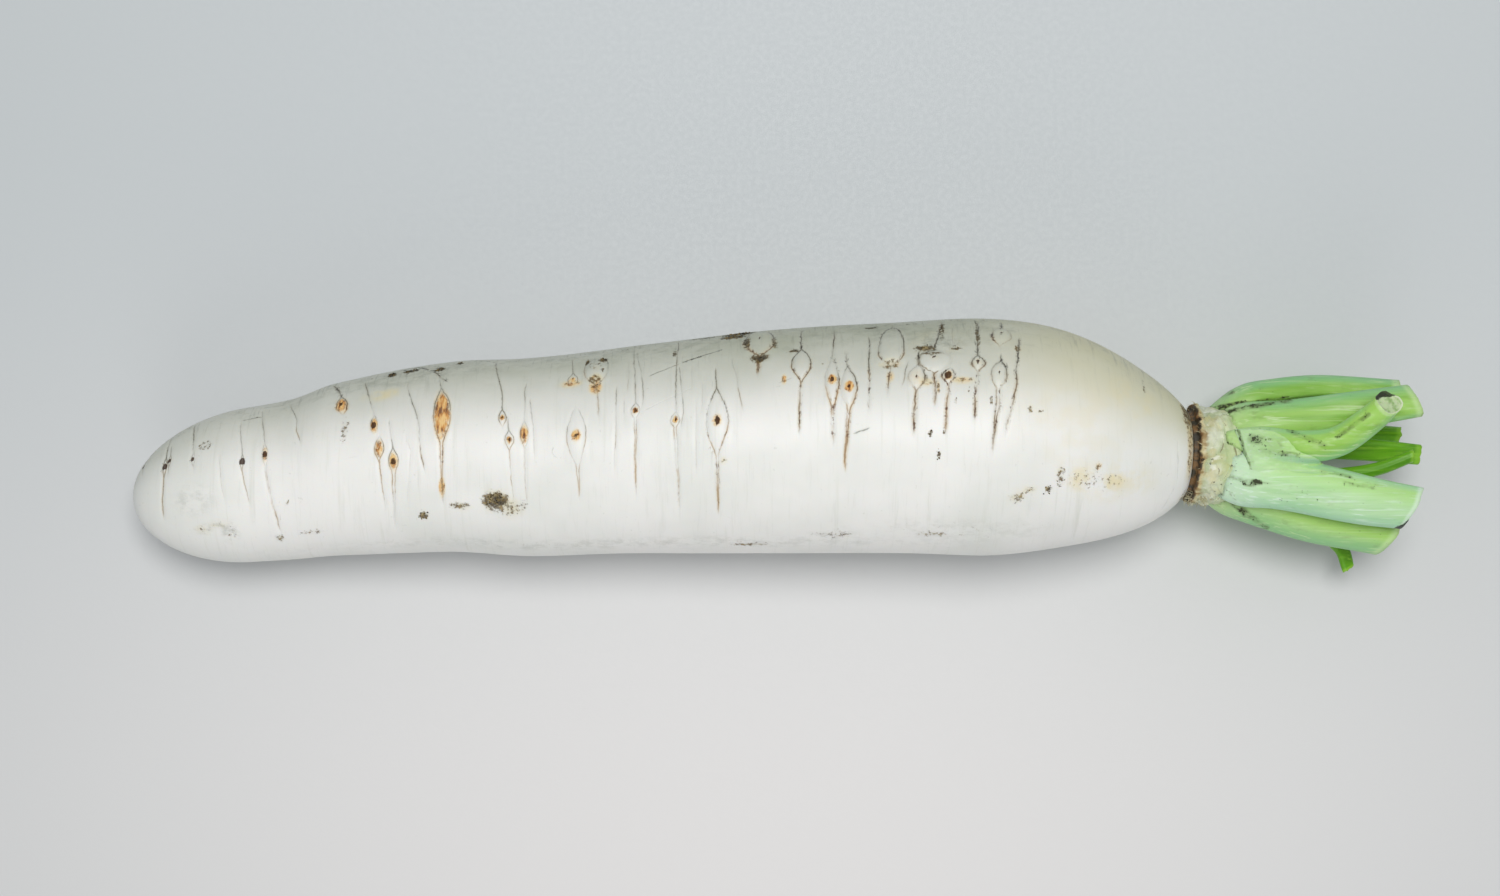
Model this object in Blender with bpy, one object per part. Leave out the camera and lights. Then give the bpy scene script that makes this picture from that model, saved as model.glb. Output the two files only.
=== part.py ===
"""A daikon radish with its leaves cut off: the white root, the short crown and the cut leaf stalks.

The root lies along X on the surface z = 0 with its blunt tip at -X. The crown closes its shoulder at +X
and carries a rosette of leaf stalks. Sizes are in millimetres where they are stated, and in metres in
the meshes. Angles round the root are counted from its top, positive towards +Y.
"""

import math
import random
from collections import namedtuple

import bmesh
import bpy
from mathutils import Matrix, Vector

MM = 0.001
GAP = 0.3  # between solids that touch

# The root's outline seen from above: half its width, and how far its middle lies towards +Y.
Station = namedtuple("Station", "along half_width sideways")
ROOT_STATIONS = (
    Station(0, 23.4, -17.2),
    Station(27, 24.6, -14.6),
    Station(52, 26.1, -11.7),
    Station(66, 27.8, -8.6),
    Station(104, 30.6, -4.4),
    Station(129, 31.8, -4.5),
    Station(168, 33.6, -1.8),
    Station(206, 35.7, 0.4),
    Station(245, 36.9, 1.6),
    Station(270, 37.8, 1.9),
    Station(300, 37.8, 1.4),
    Station(338, 37.8, -3.4),
)
TIP_ROUNDING = 38.0  # length of the blunt tip's elliptic end
SHOULDER_START = 270.0
SHOULDER_ROUNDING = 73.5  # length of the shoulder's ellipse, if it closed
ROOT_LENGTH = 338.2  # where the crown cuts the shoulder off
HEIGHT_TO_WIDTH = 0.985
NECK_DROOP = 3.0  # how far the shoulder's end hangs below the middle of the root

# The root's belly is a long shallow arc, lightly flattened where the root rests.
REST_MIDDLE = 192.0
BELLY_LIFT = 1.5  # how far the belly has risen one BELLY_SPAN from the middle
BELLY_SPAN = 150.0
FLAT_DEPTH = 0.45

ROOT_SEGMENTS = 40
RING_SPACING = 6.5
FURROW_RING = 1.6  # rings each side of a furrow's own
LEAST_RING_GAP = 1.5
LEAST_PLAIN_GAP = 3.5  # between a ring that no furrow needs and its neighbours

# Lateral roots left a row of scars on two opposite sides. A scar is a shallow furrow round the root,
# from `up` above its eye to `down` below it, with a lens-shaped bulge at the eye.
# across is the eye's distance towards +Y from the root's middle line, as seen from above.
SCAR_ROW_TURN = 30.0  # the row that shows; the other row is opposite
SEGMENT_CROWDING = 11.0  # degrees by which a ring's points are drawn towards the two rows
Scar = namedtuple("Scar", "along across half_width half_height bulge up down")
TOP_SCARS = (
    Scar(14.5, 10, 1.4, 3.0, 0.3, 9, 8),
    Scar(23.5, 10, 1.6, 3.5, 0.4, 11, 6),
    Scar(40, 7.5, 1.6, 3.5, 0.4, 13, 15),
    Scar(47, 9, 1.8, 4.0, 0.5, 15, 26),
    Scar(71, 19.5, 2.4, 6.0, 0.6, 7, 8),
    Scar(82, 12.5, 1.8, 4.5, 0.5, 16, 5),
    Scar(84.5, 5, 2.2, 5.0, 0.6, 6, 8),
    Scar(89, 0, 2.0, 4.5, 0.5, 16, 21),
    Scar(104, 12.5, 2.8, 9.0, 0.8, 8, 27),
    Scar(123, 12, 2.0, 4.0, 0.5, 18, 6),
    Scar(125, 5.5, 2.0, 5.0, 0.6, 6, 21),
    Scar(129.5, 7, 1.8, 4.5, 0.5, 14, 22),
    Scar(146, 6.5, 2.8, 7.0, 0.7, 10, 25),
    Scar(151.5, 25, 3.6, 4.6, 1.1, 4, 17),
    Scar(164.5, 12, 1.8, 4.0, 0.4, 20, 29),
    Scar(177, 8, 1.8, 4.0, 0.4, 25, 31),
    Scar(189.5, 7.5, 3.0, 9.5, 0.8, 11, 31),
    Scar(202.5, 29.5, 4.6, 5.5, 1.4, 3, 8),
    Scar(216, 24.5, 2.8, 4.5, 1.0, 5, 25),
    Scar(224.5, 18, 2.2, 7.5, 0.8, 11, 22),
    Scar(230, 15.5, 2.8, 8.0, 0.9, 8, 27),
    Scar(243.5, 26.5, 4.2, 5.5, 1.5, 3, 15),
    Scar(250.5, 19, 3.0, 4.5, 0.9, 5, 20),
    Scar(257.5, 23.5, 4.6, 4.5, 1.0, 5, 8),
    Scar(260.5, 19, 2.2, 4.5, 0.8, 3, 21),
    Scar(270, 22.5, 2.2, 4.5, 0.9, 15, 20),
    Scar(276.5, 18.5, 2.6, 4.5, 0.9, 4, 28),
    Scar(278.5, 31, 2.8, 3.5, 1.0, 3, 6),
)
UNDER_SCARS = 11
UNDER_START, UNDER_END = 24.0, 286.0
FURROW_DEPTH = 0.45
FURROW_HALF_WIDTH = 0.8

# The crown is the stem that the leaves grew from. Its profile is (distance past the shoulder, radius).
CROWN_AXIS = Vector((1.0, -0.045, -0.035)).normalized()
CROWN_SEGMENTS = 32
CROWN_PROFILE = (
    (GAP, 11.6),
    (0.5, 13.4),
    (1.9, 12.9),
    (2.9, 14.3),
    (4.0, 15.9),
    (5.3, 16.1),
    (6.6, 15.2),
    (8.4, 15.6),
    (9.8, 15.1),
    (11.2, 15.3),
    (13.0, 14.0),
    (15.2, 12.6),
    (17.4, 9.8),
    (19.3, 6.0),
    (20.2, 2.6),
)
CROWN_TIP = 20.5
STALK_START = 15.7  # where the stalks' paths are measured from, past the shoulder

# A stalk's path is given from STALK_START on the crown's axis: (towards +X, towards +Y, up), in mm.
# back says which way its rounded back faces. Every stalk has a broad base that clasps the crown.
Stalk = namedtuple("Stalk", "name path width depth channel back cut_slope colour")
BRIGHT, MID, PALE = (0.19, 0.47, 0.02), (0.33, 0.60, 0.11), (0.47, 0.75, 0.40)
STALKS = (
    Stalk("curved_front", ((-8, 3, 9), (5, 4.2, 14.5), (17, 3.7, 18.5), (28, 5.8, 21.5), (37, 13, 25),
          (42.6, 19.3, 28)), 9.6, 7.0, 0.8, (0.1, -0.35, 1), -0.25, MID),
    Stalk("broad_front", ((-8, -6, 8), (4, -6.9, 11.5), (16, -8, 13.5), (38.4, -12, 15), (54.5, -13.9, 14.5)),
          16.2, 9.4, 1.4, (0, -0.35, 1), 0.28, PALE),
    Stalk("broad_upper", ((-8, 7.5, 5), (4, 10.6, 7.5), (16, 12.2, 9), (34, 15.8, 9.5), (55.5, 20, 8.5)),
          12.6, 8.2, 1.4, (0, 0.55, 1), -0.22, MID),
    Stalk("arched_back", ((-10, 10, -1.5), (2.6, 17.4, -1), (12, 20.2, -1), (28, 22.6, -2), (53.8, 22.8, -3.5)),
          11.5, 7.4, 1.2, (0, 1, 0.15), 0.1, MID),
    Stalk("low_front", ((-8, -9, -1), (2.6, -12.8, 0), (13.5, -16.2, 1), (28.5, -20.4, 2), (50.6, -24.4, 1.5)),
          15.2, 8.2, 1.4, (0, -0.75, 0.7), 0.32, MID),
    Stalk("inner_thin", ((-2, -3, 4), (16, -4.4, 5), (34, -4.5, 4.2), (46, -2, 4.4), (57, 2.6, 5.4)),
          4.4, 3.6, 0.4, (0, -0.6, 1), 0.35, BRIGHT),
    Stalk("inner_right", ((-2, 1.5, -1), (16, 3.2, -1.6), (36, 4.2, -2.5), (62, 3, -3.5)),
          7.4, 5.6, 0.8, (0, 0.2, -1), 0.0, BRIGHT),
    Stalk("inner_upper", ((-2, 6.2, -4), (16, 8.6, -7), (36, 9.4, -9), (57, 9.2, -9.5)),
          6.0, 4.8, 0.6, (0, 0.8, -1), 0.0, BRIGHT),
    Stalk("low_thin", ((-6, -10, -8), (12, -14.5, -10.8), (30, -21, -12.8), (40, -27.5, -13.8), (43.5, -35, -14)),
          5.0, 4.2, 0.5, (0, -0.7, -1), 0.2, BRIGHT),
    Stalk("under_back", ((-8, 7, -8), (8, 11.8, -12.5), (28, 15.5, -17.5), (50, 17.5, -21)),
          12.0, 7.8, 1.3, (0, 0.5, -1), 0.15, MID),
    Stalk("under_front", ((-8, -3, -9), (8, -4.6, -14), (28, -9.5, -20), (52, -14.5, -24)),
          12.5, 8.0, 1.3, (0, -0.3, -1), -0.1, MID),
)
STALK_SWELL = ((0.0, 0.6), (0.17, 1.08), (0.36, 1.1), (0.7, 1.02), (1.0, 0.9))  # share of the width
STALK_RINGS = 10
STALK_SEGMENTS = 16
CUT_RIM = 0.78  # size of the sunk middle of a cut end
CUT_SINK = 0.7


def smooth_value(points, at, column):
    """A smooth curve through one column of points, with the first column as the distance along it."""
    last = len(points) - 1
    k = max(i for i in range(last) if i == 0 or points[i][0] <= at)

    def slope(i):
        before, after = points[max(i - 1, 0)], points[min(i + 1, last)]
        return (after[column] - before[column]) / (after[0] - before[0])

    span = points[k + 1][0] - points[k][0]
    t = (at - points[k][0]) / span
    start, end = points[k][column], points[k + 1][column]
    return (
        start * (1 + 2 * t) * (1 - t) ** 2
        + slope(k) * span * t * (1 - t) ** 2
        + end * t * t * (3 - 2 * t)
        - slope(k + 1) * span * t * t * (1 - t)
    )


def smooth_step(value, start, end):
    """0 before start, 1 after end, and an even rise between them."""
    t = min(1.0, max(0.0, (value - start) / (end - start)))
    return t * t * (3 - 2 * t)


def rounding(along):
    """How much of the root's full girth is left at its two elliptic ends."""
    tip = max(0.0, 1 - along / TIP_ROUNDING)
    shoulder = max(0.0, (along - SHOULDER_START) / SHOULDER_ROUNDING)
    return math.sqrt(1 - tip * tip) * math.sqrt(1 - shoulder * shoulder)


def axis_of_root(along):
    """The middle of the root's section, in mm, as (towards +Y, up)."""
    full_height = HEIGHT_TO_WIDTH * smooth_value(ROOT_STATIONS, along, 1)
    lift = BELLY_LIFT * ((along - REST_MIDDLE) / BELLY_SPAN) ** 2 - FLAT_DEPTH
    droop = NECK_DROOP * smooth_step(along, SHOULDER_START - 30, ROOT_LENGTH)
    return smooth_value(ROOT_STATIONS, along, 2), full_height + lift - droop


def turn_of(scar):
    """The angle round the root of an eye that is seen `across` from its middle line."""
    reach = smooth_value(ROOT_STATIONS, scar.along, 1) * rounding(scar.along)
    return math.degrees(math.asin(min(0.99, scar.across / reach)))


def under_scars():
    """The row on the root's hidden side, spaced like the row that shows."""
    draw = random.Random(7)
    pitch = (UNDER_END - UNDER_START) / UNDER_SCARS
    for n in range(UNDER_SCARS):
        size = draw.uniform(0.8, 1.5)
        yield (
            Scar(UNDER_START + pitch * (n + draw.uniform(0.2, 0.8)), 0, 1.8 * size, 4.0 * size,
                 0.6 * size, draw.uniform(6, 16), draw.uniform(10, 22)),
            SCAR_ROW_TURN + 180 + draw.uniform(-16, 16),
        )


SCARS = [(scar, turn_of(scar)) for scar in TOP_SCARS] + list(under_scars())


def relief(along, turn, radius):
    """Height of the scars above the root's plain surface, in mm."""
    height = 0.0
    for scar, scar_turn in SCARS:
        beside = along - scar.along
        if abs(beside) > 3 * scar.half_width + FURROW_HALF_WIDTH:
            continue
        round_way = math.radians((turn - scar_turn + 180) % 360 - 180) * radius
        if not -scar.down - 2 < round_way < scar.up + scar.half_height + 2:
            continue
        lens = max(0.0, 1 - (round_way / scar.half_height) ** 2)
        inside = max(0.0, 1 - (beside / (1.25 * scar.half_width)) ** 2)
        height += scar.bulge * lens * inside
        off_line = abs(abs(beside) - scar.half_width * lens) / FURROW_HALF_WIDTH
        fade = smooth_step(round_way, -scar.down - 2, -scar.down + 5)
        fade *= 1 - smooth_step(round_way, scar.up - 2, scar.up + scar.half_height + 2)
        height -= FURROW_DEPTH * fade * math.exp(-off_line * off_line)
    return height


def root_point(along, turn):
    """A point of the root's skin, in metres."""
    girth = smooth_value(ROOT_STATIONS, along, 1) * rounding(along)
    sideways, up = axis_of_root(along)
    skin = girth + relief(along, turn, girth) * smooth_step(girth, 2, 14)
    angle = math.radians(turn)
    height = up + HEIGHT_TO_WIDTH * skin * math.cos(angle)
    return Vector((along, sideways + skin * math.sin(angle), max(0.0, height))) * MM


def ring_places():
    """Distances along the root that get a ring: three to a furrow, even ones, closer ones at its ends."""
    furrows = [scar.along + side * FURROW_RING for scar, _ in SCARS for side in (0, -1, 1)]
    ends = [TIP_ROUNDING * (1 - math.cos(math.radians(a))) for a in range(9, 82, 9)]
    ends += [SHOULDER_START + SHOULDER_ROUNDING * math.sin(math.radians(a)) for a in range(6, 64, 6)]
    steps = round((SHOULDER_START - TIP_ROUNDING) / RING_SPACING)
    plain = [TIP_ROUNDING + (SHOULDER_START - TIP_ROUNDING) * n / steps for n in range(steps + 1)]
    kept = [ROOT_LENGTH]
    for wanted, gap in ((ends, LEAST_RING_GAP), (furrows, LEAST_RING_GAP), (plain, LEAST_PLAIN_GAP)):
        for place in wanted:
            if place < ROOT_LENGTH and all(abs(place - other) > gap for other in kept):
                kept.append(place)
    return sorted(kept)


def ring_turns():
    """Angles of a ring's points, closer together along the two rows of scars."""
    for n in range(ROOT_SEGMENTS):
        even = 360 * n / ROOT_SEGMENTS
        yield even - SEGMENT_CROWDING * math.sin(math.radians(2 * (even - SCAR_ROW_TURN)))


def closed_tube(name, rings, start_tip, end_tip):
    """A mesh object from rings of points, closed by a fan of faces to a tip at each end."""
    mesh_maker = bmesh.new()
    loops = [[mesh_maker.verts.new(point) for point in ring] for ring in rings]
    count = len(loops[0])
    for here, there in zip(loops, loops[1:]):
        for n in range(count):
            mesh_maker.faces.new((here[n], there[n], there[n - 1], here[n - 1]))
    first, last = mesh_maker.verts.new(start_tip), mesh_maker.verts.new(end_tip)
    for n in range(count):
        mesh_maker.faces.new((loops[0][n], loops[0][n - 1], first))
        mesh_maker.faces.new((loops[-1][n - 1], loops[-1][n], last))
    bmesh.ops.recalc_face_normals(mesh_maker, faces=mesh_maker.faces)
    mesh = bpy.data.meshes.new(name)
    mesh_maker.to_mesh(mesh)
    mesh_maker.free()
    mesh.shade_smooth()
    mesh.set_sharp_from_angle(angle=math.radians(50))
    made = bpy.data.objects.new(name, mesh)
    bpy.context.scene.collection.objects.link(made)
    return made


def make_root():
    """The swollen taproot, one solid with its scars in relief and a small flat where it rests."""
    rings = [[root_point(along, turn) for turn in ring_turns()] for along in ring_places()]
    tip = Vector((0, *axis_of_root(0))) * MM
    end = Vector((ROOT_LENGTH, *axis_of_root(ROOT_LENGTH))) * MM
    for point in rings[-1]:  # the cut-off shoulder faces along the crown
        point.x -= (point - end).dot(CROWN_AXIS) / CROWN_AXIS.x
    return closed_tube("taproot", rings, tip, end)


def crown_frame():
    """Where the crown starts, and the frame in which X runs along it."""
    sideways, up = axis_of_root(ROOT_LENGTH)
    place = Matrix.Translation(Vector((ROOT_LENGTH, sideways, up)) * MM)
    return place @ CROWN_AXIS.to_track_quat("X", "Z").to_matrix().to_4x4()


def make_crown(name, grow=0.0):
    """The crown, turned about its axis, with uneven rings where old leaves came away."""
    rings = []
    for number, (along, radius) in enumerate(CROWN_PROFILE):
        ring = []
        for n in range(CROWN_SEGMENTS):
            angle = 2 * math.pi * n / CROWN_SEGMENTS
            lobes = 0.022 * math.sin(5 * angle + number) + 0.018 * math.sin(3 * angle + 1.7 * number)
            reach = radius * (1 + lobes * min(1, number / 4)) + grow
            ring.append(Vector((along, reach * math.cos(angle), reach * math.sin(angle))) * MM)
        rings.append(ring)
    start = Vector((CROWN_PROFILE[0][0] - grow, 0, 0)) * MM
    rings[0] = [point - Vector((grow, 0, 0)) * MM for point in rings[0]]
    crown = closed_tube(name, rings, start, Vector((CROWN_TIP + grow, 0, 0)) * MM)
    crown.matrix_world = crown_frame()
    return crown


def path_point(path, t):
    """A point at t, from 0 to 1, on the smooth curve through a path, and the curve's direction there."""
    spans = len(path) - 1
    numbered = [(n / spans, *point) for n, point in enumerate(path)]

    def at(value):
        return Vector([smooth_value(numbered, value, column) for column in (1, 2, 3)])

    step = 1e-3
    before, after = max(0.0, t - step), min(1.0, t + step)
    return at(t), (at(after) - at(before)).normalized()


def stalk_section(stalk, swell, grow):
    """One ring of a leaf stalk as (sideways, out): a rounded back and a channelled inner face."""
    ring = []
    for n in range(STALK_SEGMENTS):
        angle = 2 * math.pi * n / STALK_SEGMENTS
        side = (swell * stalk.width / 2 + grow) * math.cos(angle)
        lift = math.sin(angle)
        if lift >= 0:
            out = (swell * stalk.depth * 0.62 + grow) * lift
        else:
            out = (swell * stalk.depth * 0.38 + grow) * lift + swell * stalk.channel * lift**4
        ring.append((side, out))
    return ring


def make_stalk(stalk, name, grow=0.0):
    """A leaf stalk swept along its path, from inside the crown to its slanted cut end."""
    rings = []
    for number in range(STALK_RINGS):
        t = number / (STALK_RINGS - 1)
        middle, ahead = path_point(stalk.path, t)
        out = Vector(stalk.back)
        out = (out - out.dot(ahead) * ahead).normalized()
        sideways = out.cross(ahead)
        slant = stalk.cut_slope * smooth_step(t, 0.8, 1.0)
        ring = []
        for side, depth in stalk_section(stalk, smooth_value(STALK_SWELL, t, 1), grow):
            ring.append(middle + sideways * side + out * depth + ahead * slant * side)
        rings.append(ring)
    base = path_point(stalk.path, 0)[0]
    end, ahead = path_point(stalk.path, 1)
    rings[-1] = [point + ahead * grow for point in rings[-1]]
    rings.append([end + (point - end) * CUT_RIM - ahead * (CUT_SINK - grow) for point in rings[-1]])
    to_metres = [[point * MM for point in ring] for ring in rings]
    made = closed_tube(name, to_metres, base * MM, (end - ahead * (CUT_SINK - grow)) * MM)
    made.matrix_world = crown_frame() @ Matrix.Translation(Vector((STALK_START, 0, 0)) * MM)
    return made


def as_cutter(guide):
    """Keeps an object out of the part: it only cuts others."""
    guide.hide_render = True
    guide.display_type = "WIRE"
    return guide


def keep_clear(piece, cutter):
    """Cuts a piece back from its neighbour."""
    cut = piece.modifiers.new("clear of " + cutter.name, "BOOLEAN")
    cut.operation = "DIFFERENCE"
    cut.solver = "EXACT"
    cut.object = cutter


def finish(piece, name, colour, roughness):
    """Gives a piece its own material."""
    material = bpy.data.materials.new(name)
    material.use_nodes = True
    shader = material.node_tree.nodes["Principled BSDF"]
    shader.inputs["Base Color"].default_value = (*colour, 1)
    shader.inputs["Roughness"].default_value = roughness
    shader.inputs["Metallic"].default_value = 0.0
    material.diffuse_color = (*colour, 1)
    piece.data.materials.append(material)


def corners_of(pieces):
    """Lowest and highest corner of the pieces as the modifiers leave them."""
    bpy.context.view_layer.update()
    graph = bpy.context.evaluated_depsgraph_get()
    points = []
    for piece in pieces:
        seen = piece.evaluated_get(graph)
        points += [seen.matrix_world @ vertex.co for vertex in seen.data.vertices]
    return (
        Vector([min(point[k] for point in points) for k in range(3)]),
        Vector([max(point[k] for point in points) for k in range(3)]),
    )


def main():
    for old in list(bpy.data.objects):
        bpy.data.objects.remove(old)

    root = make_root()
    finish(root, "white root skin", (0.83, 0.84, 0.80), 0.42)
    crown = make_crown("crown")
    finish(crown, "corky crown", (0.62, 0.62, 0.42), 0.65)
    pieces = [root, crown]

    cutters = [as_cutter(make_crown("crown_clearance", GAP))]
    for stalk in STALKS:
        piece = make_stalk(stalk, "leaf_stalk_" + stalk.name)
        finish(piece, stalk.name + " skin", stalk.colour, 0.5)
        for cutter in cutters:
            keep_clear(piece, cutter)
        cutters.append(as_cutter(make_stalk(stalk, stalk.name + "_clearance", GAP)))
        pieces.append(piece)

    radish = bpy.data.objects.new("radish", None)
    bpy.context.scene.collection.objects.link(radish)
    low, high = corners_of(pieces)
    for thing in pieces + cutters:
        thing.parent = radish
    radish.location = (-(low.x + high.x) / 2, -(low.y + high.y) / 2, -low.z)


main()
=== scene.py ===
import math
import random
from collections import namedtuple

import bmesh
import bpy
import numpy as np
from mathutils import Matrix, Vector, noise
from mathutils.bvhtree import BVHTree


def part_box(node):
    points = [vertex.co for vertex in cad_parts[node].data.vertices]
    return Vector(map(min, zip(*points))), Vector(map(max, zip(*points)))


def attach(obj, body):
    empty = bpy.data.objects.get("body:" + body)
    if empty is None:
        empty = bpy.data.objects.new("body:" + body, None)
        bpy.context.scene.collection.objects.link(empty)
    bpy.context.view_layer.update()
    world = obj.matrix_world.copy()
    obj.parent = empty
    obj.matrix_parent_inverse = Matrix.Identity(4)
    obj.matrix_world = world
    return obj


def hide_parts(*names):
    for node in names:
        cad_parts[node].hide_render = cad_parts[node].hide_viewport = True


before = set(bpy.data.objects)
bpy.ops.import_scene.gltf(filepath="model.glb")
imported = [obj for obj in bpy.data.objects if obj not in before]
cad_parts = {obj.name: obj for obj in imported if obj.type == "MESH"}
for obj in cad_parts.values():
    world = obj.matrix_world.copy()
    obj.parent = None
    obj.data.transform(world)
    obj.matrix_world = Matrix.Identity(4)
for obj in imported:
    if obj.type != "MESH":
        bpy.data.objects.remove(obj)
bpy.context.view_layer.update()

# The taproot
# A daikon's root is one swollen body of crisp white flesh under a thin smooth skin. It grew as one piece.
# Thin side roots came away from it and left two rows of scars, each a furrow round the root with an eye.

MM = 0.001
Station = namedtuple("Station", "along half_width sideways")
ROOT_STATIONS = (
    Station(0, 23.4, -17.2),
    Station(27, 24.6, -14.6),
    Station(52, 26.1, -11.7),
    Station(66, 27.8, -8.6),
    Station(104, 30.6, -4.4),
    Station(129, 31.8, -4.5),
    Station(168, 33.6, -1.8),
    Station(206, 35.7, 0.4),
    Station(245, 36.9, 1.6),
    Station(270, 37.8, 1.9),
    Station(300, 37.8, 1.4),
    Station(338, 37.8, -3.4),
)
TIP_ROUNDING = 38.0
SHOULDER_START = 270.0
SHOULDER_ROUNDING = 73.5
ROOT_LENGTH = 338.2
HEIGHT_TO_WIDTH = 0.985
NECK_DROOP = 3.0
REST_MIDDLE = 192.0
BELLY_LIFT = 1.5
BELLY_SPAN = 150.0
FLAT_DEPTH = 0.45

TIP_RING_ANGLE = 1.1  # degrees of the tip's ellipse between its rings
FINE_RINGS_END = 286.0  # the scars end here
FINE_RING_SPACING = 0.5
PLAIN_RING_SPACING = 0.85
ROOT_SEGMENTS = 148
SCAR_ROW_TURN = 30.0
SEGMENT_CROWDING = 14.0  # degrees by which a ring's points are drawn towards the two rows
LUMP_SIZE, LUMP_HEIGHT = 34.0, 0.32
NECK_BULGE = 0.5  # how much further the shoulder reaches over the neck at its top
SHOULDER_RIM = ((0.1, 0.965), (0.05, 0.91), (-0.35, 0.84), (-1.0, 0.78))  # along, share of the radius

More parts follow.
